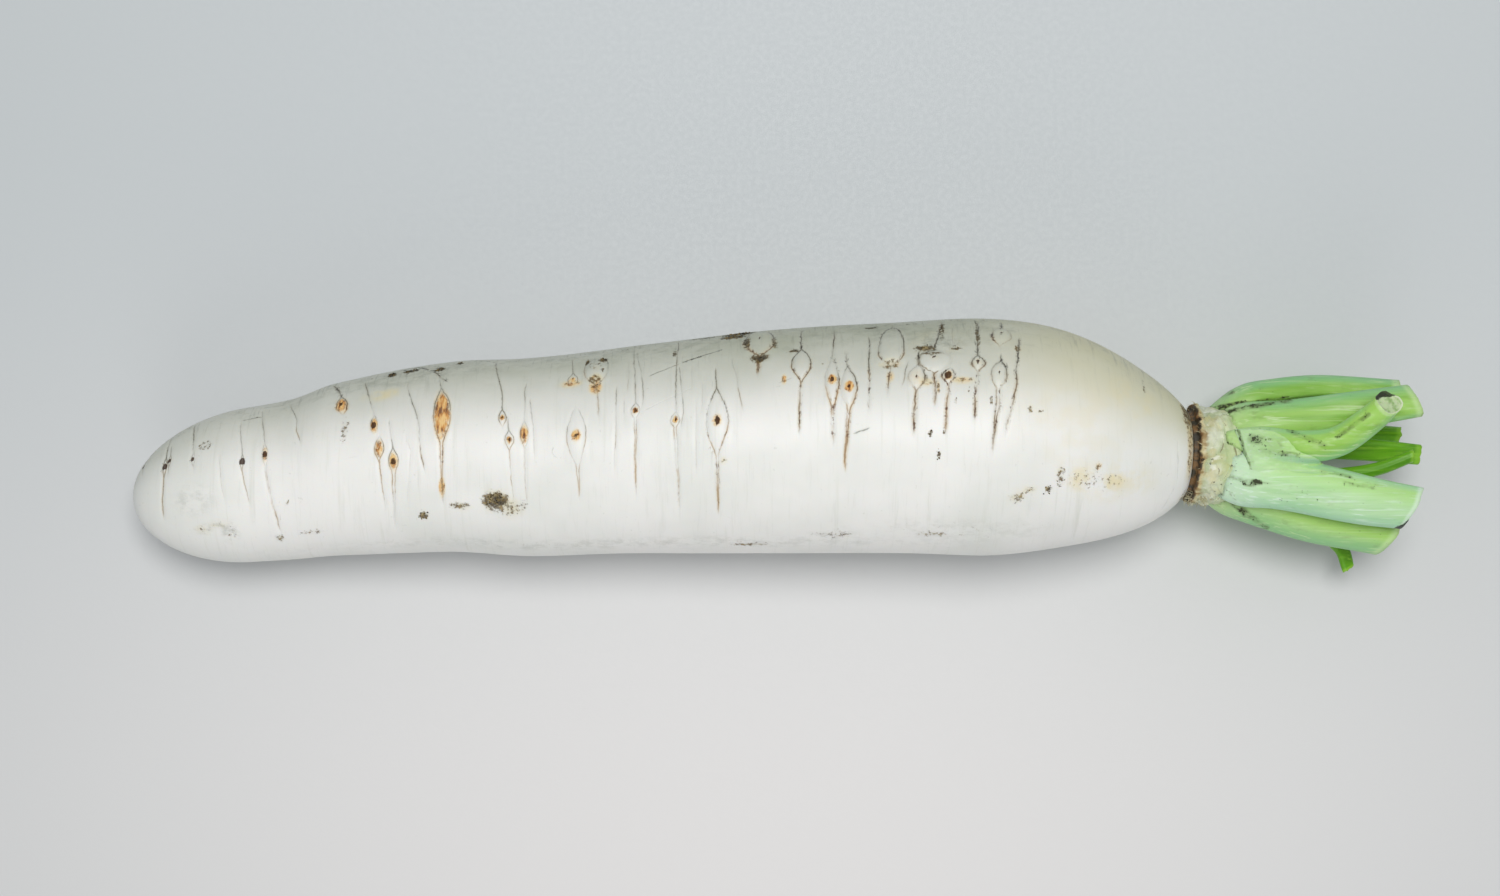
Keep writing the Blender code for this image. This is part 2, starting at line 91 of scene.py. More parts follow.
# Places on the skin are (along the root in mm, angle round it from the top towards +Y in degrees).
# A scar runs from its top through its eye to its tail. The skin parts round the eye like a lens.
# faint is how much fainter its line is towards the crown, or towards the tip where it is negative.
Scar = namedtuple(
    "Scar",
    "top eye tail half_width half_height bulge ink thick rust pit split boss tall faint",
    defaults=(0.5, 0.7, 1.0, 0.0, 0.0, 0.0, False, 1.0, 0.0),
)
SCARS = (
    # towards the tip
    Scar((5.3, 82), (4.5, 55), (5.1, 21), 0.2, 1, 0, 0.55, 0.9, 0, 0.5),
    Scar((13.4, 82), (13.6, 27), (13.3, -32), 0.6, 3, 0.3, 0.7, 1.0, 0, 0.9),
    Scar((14.9, 55), (15.1, 32), (15.0, 10), 0.4, 2, 0.1, 0.5, 0.8, 0.2, 0.6),
    Scar((21.2, 80), (23.4, 26), (24.2, 12), 0.5, 2.2, 0.4, 0.65, 1.1, 0.35, 0.6),
    Scar((32, 27), (33.2, 7), (34.7, -16), 0, 1, 0, 0.32, 0.8),
    Scar((37.6, 56), (39.9, 17), (42.3, -18), 0.5, 2.2, 0.4, 0.5, 0.9, 0.25, 1.0),
    Scar((43.7, 69), (47.2, 20), (51.5, -45), 1.0, 3.4, 0.5, 0.5, 1.1, 0.6, 0.85, 0.2),
    Scar((52.9, 68), (56.5, 39), (58.8, 19), 0, 1, 0, 0.6, 0.9),
    Scar((67, 77), (71, 44), (72.1, 33), 1.9, 3.6, 0.6, 1.0, 1.8, 1.0, 0.6),
    Scar((77.4, 68), (82.2, 24), (82.9, 15), 1.2, 3.2, 0.5, 0.65, 1.3, 0.9, 0.9),
    Scar((83.9, 19), (84.2, 9), (85.6, -32), 1.5, 3.3, 0.6, 0.6, 0.9, 0.85, 0.35),
    Scar((87, 29), (88.8, 0), (88.3, -49), 1.5, 3.5, 0.5, 0.6, 0.9, 0.85, 0.95, 0.5),
    Scar((91.7, 57), (96.8, 14), (98.8, -12), 0, 1, 0, 0.62, 1.2),
    Scar((92.2, 17), (94.2, 4), (92.6, -31), 0, 1, 0, 0.32, 0.9),
    # the middle
    Scar((101.5, 66), (103.8, 26), (104, -32), 2.7, 8.6, 0.8, 0.7, 1.1, 1.0, 0.0, 0.5),
    Scar((118.7, 80), (122.8, 23), (123, 15), 1.2, 2.4, 0.4, 0.7, 1.0, 0.9, 0.45),
    Scar((124.5, 25), (125.1, 10), (126.2, -29), 1.4, 2.4, 0.6, 0.5, 0.9, 0.95, 0.45),
    Scar((129.4, 49), (129.7, 13), (130.3, -29), 1.4, 3.7, 0.5, 0.55, 1.1, 0.85, 0.35),
    Scar((131, 37), (132.6, 14), (132.9, -3), 0, 1, 0, 0.5, 0.9),
    Scar((143.4, 70), (144.2, 46), (144.5, 38), 1.6, 2.6, 0.2, 0.55, 1.0, 0.75, 0.4),
    Scar((145.7, 28), (146, 10), (146.9, -29), 3.0, 8.5, 0.7, 0.5, 0.9, 0.9, 0.7, 0.7),
    Scar((151.5, 66), (151.5, 52), (153, 14), 3.7, 6.0, 1.1, 0.5, 1.4, 0.2, 0.0, 0, True, 1.2),
    Scar((158.1, 39), (158.2, 11), (157.8, -15), 0, 1, 0, 0.45, 0.9),
    Scar((161.6, 58), (161.7, 42), (161.5, 30), 0, 1, 0, 0.4, 0.9),
    Scar((160.6, 30), (160.8, 22), (161, 12), 0, 1, 0, 0.4, 0.9),
    Scar((162.8, 77), (164.3, 21), (164.4, -29), 1.4, 2.2, 0.4, 0.62, 1.0, 0.95, 0.5, 0.3),
    Scar((164.0, 70), (166.6, 29), (165.8, 18), 0, 1, 0, 0.5, 0.9),
    Scar((177, 81), (176.7, 14), (177.9, -37), 1.4, 2.2, 0.4, 0.62, 1.1, 0.9, 0.5, 0.4),
    Scar((177.7, 50), (179, 18), (178.2, 7), 0, 1, 0, 0.55, 0.9),
    Scar((181.5, 49), (181.5, 37), (181.5, 27), 0, 1, 0, 0.35, 0.9),
    Scar((182.9, 27), (183, 3), (183.1, -18), 0, 1, 0, 0.3, 0.9),
    Scar((185.1, 37), (184.9, 25), (184.5, 15), 0, 1, 0, 0.45, 0.9),
    Scar((189.1, 45), (189.6, 12), (189.8, -41), 3.4, 9.0, 0.8, 0.7, 1.1, 0.75, 0.95, 0.5),
    # towards the shoulder
    Scar((193.9, 52), (195.7, 32), (197.5, 14), 0, 1, 0, 0.5, 0.9),
    Scar((202.6, 88), (202.7, 62), (202.4, 33), 4.5, 7.2, 1.6, 1.0, 2.4, 0.0, 0.4, 0, True, 1.4),
    Scar((215.9, 82), (215.6, 41), (214.6, 1), 2.9, 5.7, 1.0, 0.85, 1.3, 0.15, 0.3),
    Scar((226.2, 72), (225, 30), (225, -5), 2.2, 8.0, 0.8, 0.85, 1.4, 0.95, 0.75, 0.45, False, 1.0, -0.4),
    Scar((229.3, 51), (230.1, 26), (228.7, -18), 2.4, 6.5, 0.8, 0.85, 1.5, 0.95, 0.5, 0.45, False, 1.0, -0.6),
    Scar((236.9, 62), (236.6, 36), (236, 11), 0, 1, 0, 0.85, 1.3),
    Scar((244.7, 76), (243.5, 46), (241.7, 19), 4.1, 4.6, 1.8, 0.85, 1.5, 0.0, 0.0, 0, True, 3.2),
    Scar((248.7, 42), (247.1, 32), (245.7, 23), 0, 1, 0, 0.6, 1.1),
    Scar((252.4, 48), (250.7, 30), (249.4, -1), 2.8, 3.8, 0.9, 0.95, 2.0, 0.3, 0.3, 0, False, 1.0, -0.4),
    Scar((260.4, 80), (256.6, 40), (256.2, 12), 5.3, 4.4, 1.2, 0.95, 1.9, 0.2, 0.5, 0, True, 0.85, 0.75),
    Scar((263.4, 69), (262.7, 57), (262.4, 47), 0, 1, 0, 0.6, 1.0),
    Scar((261.6, 36), (260.5, 30), (259.2, -1), 2.0, 2.4, 0.7, 0.95, 1.7, 0.85, 1.1),
    Scar((271.6, 76), (269.8, 37), (268.1, 5), 2.1, 2.6, 0.9, 0.95, 1.7, 0.3, 0.6),
    Scar((279.1, 77), (278, 57), (277.2, 46), 3.1, 4.8, 1.1, 0.9, 1.4, 0.0, 0.35, 0, True, 1.0, 0.5),
    Scar((277.3, 44), (276.2, 31), (273.7, -11), 2.5, 4.4, 0.9, 0.85, 1.4, 0.0, 0.3, 0.6, True, 1.0, -0.3),
    Scar((283.6, 59), (281.6, 30), (277.9, -1), 0, 1, 0, 0.9, 1.5),
)
UNDER_SCARS = 11
UNDER_START, UNDER_END = 24.0, 286.0
FURROW_DEPTH = 0.4
FURROW_HALF_WIDTH = 0.55
LINE_HALF_WIDTH = 0.2
LINE_LAYERS = ("scar_lines_1", "scar_lines_2", "scar_lines_3", "scratch_lines")
SCAR_SPAN = 16  # how far along the root a scar may reach from its eye

# Scratches are dark strokes: start, end, darkness and thickness.
SCRATCHES = (
    ((167.9, 42), (178, 50), 0.55, 1.0),
    ((178, 50), (191.4, 58), 0.9, 1.1),
    ((166, 20), (182, 32), 0.35, 1.0),
    ((37.6, 55), (44.7, 56), 0.75, 1.1),
    ((43.5, 71), (53.1, 67), 0.6, 1.0),
    ((231.1, 2), (236.5, 5.5), 0.55, 1.3),
    ((88.3, 80), (91.4, 71), 1.0, 1.6),
    ((92.4, 82), (99, 64), 1.0, 1.8),
    ((97.8, 68), (104.8, 50), 1.0, 1.6),
    ((97.5, 66), (103.5, 67), 1.0, 2.0),
    ((112.8, 80), (119.2, 74), 0.8, 1.3),
    ((139.0, 5.5), (138.2, 1), 0.6, 0.9),
    ((138.2, 1), (140.2, -2), 0.55, 0.9),
    ((240, 78), (247, 76), 0.7, 1.2),
    ((208, 30), (213, 33), 0.45, 1.0),
    ((69, 5), (78, 5.5), 0.16, 1.0),
    ((60, -36), (86, -34), 0.12, 1.0),
    ((150, -34), (166, -35), 0.16, 1.0),
    ((332.6, 12), (333.2, -32), 0.3, 1.2),
    ((333.2, -32), (329.5, -60), 0.45, 1.4),
)

# Marks on the skin: place, reach along and round in mm, and how much there is of each kind of dirt.
Mark = namedtuple("Mark", "place reach soil stain smudge rust", defaults=(0.0, 0.0, 0.0, 0.0))
MARKS = (
    Mark((120.6, -25.5), (5.2, 3.6), 1.0, 0.9),
    Mark((123.5, -30), (6.5, 4.0), 0.45, 0.6, 0.2),
    Mark((109.5, -30), (4.2, 1.7), 0.75, 0.8),
    Mark((97.6, -36), (2.0, 1.8), 0.95, 0.5),
    Mark((129.4, -28), (2.0, 1.2), 0.95, 0.3),
    Mark((103.9, -18), (1.3, 3.6), 0.3, 0.9, 0, 0.9),
    Mark((26.8, -33), (3.4, 1.8), 0.35, 0.4, 0.75),
    Mark((31.8, -29), (4.0, 1.4), 0.3, 0.3, 0.7),
    Mark((35.5, -36), (3.2, 5.0), 0.3, 0, 0.65),
    Mark((24, -8), (8.0, 6.0), 0.1, 0, 0.35),
    Mark((51, -45), (2.2, 1.2), 0.85, 0, 0.5),
    Mark((61.5, -43), (5.0, 1.6), 0.45, 0, 0.55),
    Mark((84.6, 47), (7.5, 3.0), 0, 0.75),
    Mark((27.5, 36), (3.2, 2.6), 0.42),
    Mark((72.9, 24), (1.6, 5.5), 0.45),
    Mark((8.2, -80), (7.0, 1.6), 0.6, 0, 0.6),
    Mark((17.5, 70), (4.0, 3.4), 0.2, 0, 0.8),
    Mark((194.6, 73), (6.5, 1.9), 1.0, 0, 0.6),
    Mark((198.6, 60), (1.6, 5.0), 0.75, 0, 0.3),
    Mark((207.4, 58), (1.3, 4.0), 0.75, 0, 0.3),
    Mark((202.6, 48), (4.2, 1.6), 0.75, 0, 0.3),
    Mark((213.4, 51), (2.6, 1.0), 0.95),
    Mark((210.2, 32), (1.0, 2.2), 0.3, 0.5, 0, 0.7),
    Mark((237.8, 72), (2.6, 1.6), 0.8, 0, 0.4),
    Mark((254.0, 48), (4.6, 1.3), 0.95, 0, 0.2),
    Mark((255.8, 43), (4.8, 1.2), 0.7, 0, 0.2),
    Mark((263.4, 47), (2.0, 1.2), 0.85),
    Mark((259.5, 62), (1.2, 7.0), 0.6),
    Mark((270.6, 56), (1.0, 7.0), 0.6),
    Mark((265.0, 27.5), (4.6, 1.5), 0.4, 0.7, 0, 0.5),
    Mark((253.6, 27), (3.4, 1.8), 0.35, 0.6, 0, 0.35),
    Mark((257.4, 24.5), (0.8, 3.4), 0.5, 0.4, 0, 0.45),
    Mark((262.6, 17), (0.6, 1.6), 0.6),
    Mark((266.6, 22), (0.6, 1.4), 0.5),
    Mark((273.5, 17), (0.7, 2.0), 0.75),
    Mark((282.8, 47), (1.6, 2.0), 0.6, 0, 0, 0.3),
    Mark((285.5, 13), (1.4, 0.8), 0.95, 0.6),
    Mark((288.8, 12), (0.9, 0.5), 0.6),
    Mark((254.8, 1), (1.0, 1.1), 1.0),
    Mark((259.0, 1.5), (0.8, 0.6), 0.7),
    Mark((257.4, -8), (0.9, 0.7), 0.85),
    Mark((244.8, -22), (1.2, 0.6), 0.8),
    Mark((54.5, -16), (0.8, 0.8), 0.9),
    Mark((243.4, 38), (4.4, 1.8), 0.55, 0.9, 0.3, 0.35),
    Mark((242.9, 31), (1.6, 2.4), 0.3, 0.8, 0, 0.6),
    Mark((202.6, 46.5), (3.6, 1.9), 0.95, 0, 0.5),
    Mark((196.2, 80), (7.5, 3.2), 0.9, 0, 0.8),
    Mark((185.0, 80), (9.0, 2.2), 0.55, 0, 0.6),
    Mark((260.2, 68), (0.7, 7.0), 0.85, 0, 0.3),
    Mark((270.8, 68), (0.6, 8.0), 0.7, 0, 0.3),
    Mark((240, 66), (30, 9.0), 0.12, 0, 0.5),
    Mark((165, 68), (46, 7.0), 0.12, 0, 0.55),
    Mark((90, 66), (40, 7.0), 0.12, 0, 0.6),
    Mark((281.5, -30), (3.2, 2.6), 0.55, 0.6),
    Mark((285.5, -27), (3.0, 1.6), 0.45, 0.5),
    Mark((291.5, -26), (1.3, 1.2), 0.95, 0.3),
    Mark((295, -20), (1.8, 4.6), 0.5, 0.6),
    Mark((303, -21), (9.0, 4.5), 0.28, 0.85),
    Mark((307.0, -14), (1.2, 1.8), 0.6, 0.7, 0, 0.6),
    Mark((311.5, -23), (6.0, 4.0), 0.27, 0.95),
    Mark((318, -17), (4.0, 2.5), 0.2, 0.5),
    Mark((313, -22), (15, 8.0), 0.1, 0.45),
    Mark((336.8, 50), (2.4, 9.0), 0.7, 0.9, 0.6, 0.3),
    Mark((337.2, 5), (1.4, 12.0), 0.5, 0.9, 0.3, 0.4),
    Mark((337.0, -70), (1.6, 8.0), 0.55, 0.8, 0.4),
    Mark((323, 48), (1.0, 5.0), 0.45, 0, 0.3),
    Mark((300, 8), (22, 16), 0, 0.2),
    Mark((319, 30), (10, 8), 0.06, 0.35),
    Mark((143.9, 43), (4.0, 2.0), 0.3, 0.5, 0, 0.55),
    Mark((151.6, 38), (2.6, 3.0), 0.35, 0.3, 0, 0.8),
    Mark((151.6, 56), (3.8, 3.6), 0.34, 0, 0.5),
    Mark((153.4, 61), (1.8, 1.9), 1.0, 0, 0.6),
    Mark((148.4, 61), (0.8, 2.2), 1.0, 0, 0.3),
    Mark((153.7, 50), (0.6, 1.5), 0.9),
    Mark((151.4, 43), (2.6, 2.6), 0.6, 0.7, 0, 0.45),
    Mark((258.0, 52), (10.0, 8.5), 0.12, 0.2, 0.85),
    Mark((191.8, -8), (1.3, 1.0), 0.3, 0.8),
    Mark((222.0, 40), (0.7, 0.7), 0.5),
    Mark((176, 60), (1.0, 2.5), 0.7),
    Mark((84.9, 72), (14, 2.2), 0.28, 0, 0.5),
    Mark((106, 74), (18, 1.8), 0.24, 0, 0.4),
    Mark((85.7, 70), (2.1, 2.3), 1.0, 0, 0.3),
    Mark((91.6, 71.5), (3.4, 1.7), 1.0, 0, 0.3),
    Mark((101.3, 67.3), (2.6, 1.6), 1.0, 0, 0.3),
    Mark((107.2, 75.5), (1.4, 1.7), 1.0),
    Mark((150, 77), (60, 3.0), 0.22, 0, 0.45),
    Mark((245, 77), (60, 3.5), 0.25, 0, 0.4),
    Mark((160, -62), (120, 4.5), 0.14, 0, 0.35),
    Mark((265, -52), (34, 8.0), 0.16, 0, 0.2),
    Mark((226, -54), (9, 3.0), 0.42, 0, 0.3),
    Mark((256, -54), (6, 2.5), 0.48, 0, 0.25),
    Mark((200, -66), (9, 1.5), 0.65, 0, 0.3),
    Mark((150, 180), (150, 26), 0.22, 0.12, 0.4),
    Mark((240, 150), (20, 12), 0.3, 0.5, 0.1),
    Mark((70, 200), (16, 9), 0.35, 0.5, 0.2),
)


def smooth_value(points, at, column):
    """A smooth curve through one column of points, with the first column as the distance along it."""
    last = len(points) - 1
    k = max(i for i in range(last) if i == 0 or points[i][0] <= at)

    def slope(i):
        before, after = points[max(i - 1, 0)], points[min(i + 1, last)]
        return (after[column] - before[column]) / (after[0] - before[0])

    span = points[k + 1][0] - points[k][0]
    t = (at - points[k][0]) / span
    start, end = points[k][column], points[k + 1][column]
    return (
        start * (1 + 2 * t) * (1 - t) ** 2
        + slope(k) * span * t * (1 - t) ** 2
        + end * t * t * (3 - 2 * t)
        - slope(k + 1) * span * t * t * (1 - t)
    )


def smooth_step(value, start, end):
    """0 before start, 1 after end, and an even rise between them. It takes numbers and arrays."""
    t = np.clip((value - start) / (end - start), 0.0, 1.0)
    return t * t * (3 - 2 * t)


def girth_of_root(along):
    """The root's half width, in mm, with its two elliptic ends."""
    tip = max(0.0, 1 - along / TIP_ROUNDING)
    shoulder = max(0.0, (along - SHOULDER_START) / SHOULDER_ROUNDING)
    rounding = math.sqrt(1 - tip * tip) * math.sqrt(1 - shoulder * shoulder)
    return smooth_value(ROOT_STATIONS, along, 1) * rounding


def axis_of_root(along):
    """The middle of the root's section, in mm, as (towards +Y, up)."""
    full_height = HEIGHT_TO_WIDTH * smooth_value(ROOT_STATIONS, along, 1)
    lift = BELLY_LIFT * ((along - REST_MIDDLE) / BELLY_SPAN) ** 2 - FLAT_DEPTH
    droop = NECK_DROOP * smooth_step(along, SHOULDER_START - 30, ROOT_LENGTH)
    return smooth_value(ROOT_STATIONS, along, 2), full_height + lift - droop


def root_ring_places():
    """Distances along the root that get a ring of points."""
    tip_angles = np.radians(np.arange(TIP_RING_ANGLE, 40.0, TIP_RING_ANGLE))
    tip = TIP_ROUNDING * (1 - np.cos(tip_angles))
    fine = np.arange(tip[-1] + FINE_RING_SPACING, FINE_RINGS_END, FINE_RING_SPACING)
    steps = round((ROOT_LENGTH - fine[-1]) / PLAIN_RING_SPACING)
    return np.concatenate([tip, fine, np.linspace(fine[-1], ROOT_LENGTH, steps + 1)[1:]])


def turned_back(turn):
    """An angle brought to between -180 and 180 degrees."""
    return (turn + 180) % 360 - 180


def under_scars():
    """The row of scars on the root's hidden side, spaced like the row that shows. Their places are drawn
    as the solid's are, and their looks by a second draw."""
    draw, looks = random.Random(7), random.Random(8)
    pitch = (UNDER_END - UNDER_START) / UNDER_SCARS
    for n in range(UNDER_SCARS):
        size = draw.uniform(0.8, 1.5)
        along = UNDER_START + pitch * (n + draw.uniform(0.2, 0.8))
        up, down = draw.uniform(6, 16) + 4.0 * size, draw.uniform(10, 22)
        turn = SCAR_ROW_TURN + 180 + draw.uniform(-16, 16)
        radius = girth_of_root(along)
        yield Scar(
            (along + looks.uniform(-1, 1), turn + math.degrees(up / radius)),
            (along, turn),
            (along + looks.uniform(-1, 1), turn - math.degrees(down / radius)),
            1.8 * size,
            4.0 * size,
            0.6 * size,
            looks.uniform(0.55, 0.95),
            looks.uniform(0.9, 1.6),
            looks.uniform(0.4, 1.0),
            looks.uniform(0.2, 0.9),
            looks.uniform(0.0, 0.5),
        )
        yield Scar(
            (along + pitch * 0.4, turn + looks.uniform(5, 25)),
            (along + pitch * 0.4 + looks.uniform(-1, 1), turn),
            (along + pitch * 0.4, turn - looks.uniform(10, 30)),
            0, 1, 0, looks.uniform(0.3, 0.6), 0.9,
        )


def scar_on_skin(scar, along, turn):
    """For each point of the skin: the distance beside the scar's middle line and above its eye, the
    half width of the parted skin there, all in mm, and how much of the scar is left, from 0 to 1."""
    radius = girth_of_root(scar.eye[0])
    past_eye = turned_back(turn - scar.eye[1])
    to_top = scar.top[1] - scar.eye[1]
    to_tail = scar.eye[1] - scar.tail[1]
    upward = smooth_step(past_eye, 0, to_top)
    downward = smooth_step(-past_eye, 0, to_tail)
    course = scar.eye[0] + (scar.top[0] - scar.eye[0]) * upward + (scar.tail[0] - scar.eye[0]) * downward
    beside = along - course
    round_way = np.radians(past_eye) * radius
    reach = (1.08 if scar.boss else 1.25) * scar.half_height * np.where(round_way > 0, scar.tall, 1.0)
    power = np.where((round_way > 0) & (scar.tall > 1.5), 0.85, 0.55) if scar.boss else 1.35
    opening = np.clip(1 - (round_way / reach) ** 2, 0, 1) ** power
    top_way = math.radians(to_top) * radius
    tail_way = math.radians(to_tail) * radius
    left = 1 - smooth_step(round_way, top_way - 3, top_way + 0.6)
    left = left * (1 - smooth_step(-round_way, tail_way - 5, tail_way + 0.6))
    tail_gap = scar.split * smooth_step(-round_way, 0, 3) * (1 - smooth_step(-round_way, 0, tail_way))
    half_width = np.maximum(scar.half_width * opening, tail_gap)
    if scar.boss and scar.tall < 1.5:
        high = scar.half_height * np.where(round_way > 0, scar.tall, 1.0)
        ring = np.hypot(beside, round_way * scar.half_width / high)
        ringed = (round_way > 0) & (ring < scar.half_width + np.abs(beside)) & (round_way < 1.6 * high)
        beside = np.where(ringed, np.copysign(ring, beside), beside)
        half_width = np.where(ringed, scar.half_width, half_width)
    return np.broadcast_arrays(beside, round_way, half_width, left, opening)


def skin_of_root(along, turn):
    """Relief, in mm, and the marks of every scar, scratch and patch of dirt, over a grid of the skin."""
    shape = np.broadcast(along, turn).shape
    relief = np.zeros(shape)
    lines = [np.zeros(shape + (3,)) for _ in range(3)]
    nearest = [np.full(shape, 1e9) for _ in lines]
    strokes = np.zeros(shape + (3,))
    near_stroke = np.full(shape, 1e9)
    rust, pit, soil, stain, smudge, fresh_and_lit = (np.zeros(shape) for _ in range(6))
    warm, warm_weight = np.zeros(shape), np.full(shape, 1e-6)
    scars = sorted(list(SCARS) + list(under_scars()), key=lambda scar: (scar.eye[1] > 100, scar.eye[0]))
    for number, scar in enumerate(scars):
        rows = np.abs(along[:, 0] - scar.eye[0]) < SCAR_SPAN
        beside, above, half_width, left, opening = scar_on_skin(scar, along[rows], turn)
        off_line = np.abs(np.abs(beside) - half_width)
        inside = np.clip(1 - (beside / max(0.1, 1.25 * scar.half_width)) ** 2, 0, 1)
        relief[rows] += scar.bulge * opening * inside
        furrow = FURROW_DEPTH * min(1.0, scar.ink + 0.15) * left
        relief[rows] -= furrow * np.exp(-((off_line / FURROW_HALF_WIDTH) ** 2))

        thickness = LINE_HALF_WIDTH * scar.thick
        faded = abs(scar.faint) * smooth_step(np.sign(scar.faint) * beside, 0.2, 1.6)
        darkness = scar.ink * left * (1 - faded) * (1 - smooth_step(off_line, 0.9, 1.5))
        layer = number % 3
        off_line = off_line + 50.0 * (darkness <= 0)
        closer = off_line < nearest[layer][rows]
        values = np.stack([beside / thickness, half_width / thickness, darkness], axis=-1)
        lines[layer][rows] = np.where(closer[..., None], values, lines[layer][rows])
        nearest[layer][rows] = np.where(closer, off_line, nearest[layer][rows])

        # Bare skin inside a parted scar. The flank tint and top-edge grime are drawn a little lighter there,
        # a small painted highlight on the raised domes.
        bare = 1 - smooth_step(np.abs(beside) / np.maximum(0.1, half_width), 0.7, 1.0)
        fresh_and_lit[rows] = np.maximum(fresh_and_lit[rows], bare * smooth_step(half_width, 0.6, 1.6))

        weight = np.exp(-off_line) * darkness
        warm[rows] += weight * (0.15 + 0.85 * smooth_step(-above, -2.5, 3.0)) * (0.55 + 0.45 * scar.rust)
        warm_weight[rows] += weight

        if scar.half_height > 8.5 and scar.rust > 0.95:
            wide, high = 1.15 * scar.half_width, 1.15 * scar.half_height
        elif 2.9 < scar.half_height < 4.0 and not scar.boss:
            wide, high = 1.15 * scar.half_width, 1.0 * scar.half_height
        else:
            wide = min(max(0.8, 0.8 * scar.half_width), 1.9)
            high = 1.2 * wide
        eye_size = np.sqrt((beside / wide) ** 2 + (above / high) ** 2)
        rust[rows] = np.maximum(rust[rows], scar.rust * (1 - smooth_step(eye_size, 0.35, 1.25)))
        hole = np.sqrt(beside**2 + (above * 0.8) ** 2) / max(0.05, 1.15 * scar.pit)
        pit[rows] = np.maximum(pit[rows], (scar.pit > 0) * (1 - smooth_step(hole, 0.45, 1.3)))

    for start, end, darkness, thick in SCRATCHES:
        radius = girth_of_root((start[0] + end[0]) / 2)
        begin = np.array([start[0], math.radians(start[1]) * radius])
        run = np.array([end[0], math.radians(end[1]) * radius]) - begin
        length = math.hypot(*run)
        ahead, side = (run / length), np.array([-run[1], run[0]]) / length
        from_start = along - begin[0], np.radians(turned_back(turn)) * radius - begin[1]
        gone = from_start[0] * ahead[0] + from_start[1] * ahead[1]
        off = from_start[0] * side[0] + from_start[1] * side[1]
        left = smooth_step(gone, -0.6, 1.2) * (1 - smooth_step(gone, length - 1.2, length + 0.6))
        left = left * darkness * (1 - smooth_step(np.abs(off), 1.6, 2.4))
        closer = np.abs(off) + 10 * (left == 0) < near_stroke
        values = np.stack([off / (LINE_HALF_WIDTH * thick), np.zeros(shape), left], axis=-1)
        strokes = np.where(closer[..., None], values, strokes)
        near_stroke = np.where(closer, np.abs(off) + 10 * (left == 0), near_stroke)

    for mark in MARKS:
        radius = girth_of_root(mark.place[0])
        off = np.sqrt(
            ((along - mark.place[0]) / mark.reach[0]) ** 2
            + (np.radians(turned_back(turn - mark.place[1])) * radius / mark.reach[1]) ** 2
        )
        there = 1 - smooth_step(off, 0.35, 1.25)
        soil = np.maximum(soil, mark.soil * there)
        stain = np.maximum(stain, mark.stain * there)
        smudge = np.maximum(smudge, mark.smudge * there)
        rust = np.maximum(rust, mark.rust * there)
    eyes_and_soil = np.stack([rust, pit, soil], -1)
    stains = np.stack([stain, smudge, warm / warm_weight], -1)
    return relief, lines + [strokes], eyes_and_soil, stains, fresh_and_lit


def linked(name, data):
    """A new object in the scene."""
    made = bpy.data.objects.new(name, data)
    bpy.context.scene.collection.objects.link(made)
    return made


def closed_tube(name, rings, start_tip, end_tip, attributes):
    """A mesh object from rings of points in metres, closed by a fan to a tip at each end. attributes
    holds, for each name, a value of three numbers for every point of the rings."""
    rings = np.asarray(rings)
    count, around = rings.shape[:2]
    points = np.concatenate([rings.reshape(-1, 3), [start_tip, end_tip]])
    here = np.arange(count * around).reshape(count, around)
    after = np.roll(here, -1, axis=1)
    quads = np.stack([here[:-1], here[1:], after[1:], after[:-1]], axis=-1).reshape(-1, 4).tolist()
    first, last = count * around, count * around + 1
    fans = [(first, after[0][n], here[0][n]) for n in range(around)]
    fans += [(last, here[-1][n], after[-1][n]) for n in range(around)]
    mesh = bpy.data.meshes.new(name)
    mesh.from_pydata(points.tolist(), [], quads + fans)
    for key, values in attributes.items():
        flat = np.asarray(values).reshape(-1, 3)
        flat = np.concatenate([flat, flat[:1], flat[-1:]])
        mesh.attributes.new(key, "FLOAT_VECTOR", "POINT").data.foreach_set("vector", flat.ravel())
    maker = bmesh.new()
    maker.from_mesh(mesh)
    bmesh.ops.recalc_face_normals(maker, faces=maker.faces)
    maker.to_mesh(mesh)
    maker.free()
    mesh.shade_smooth()
    return linked(name, mesh)


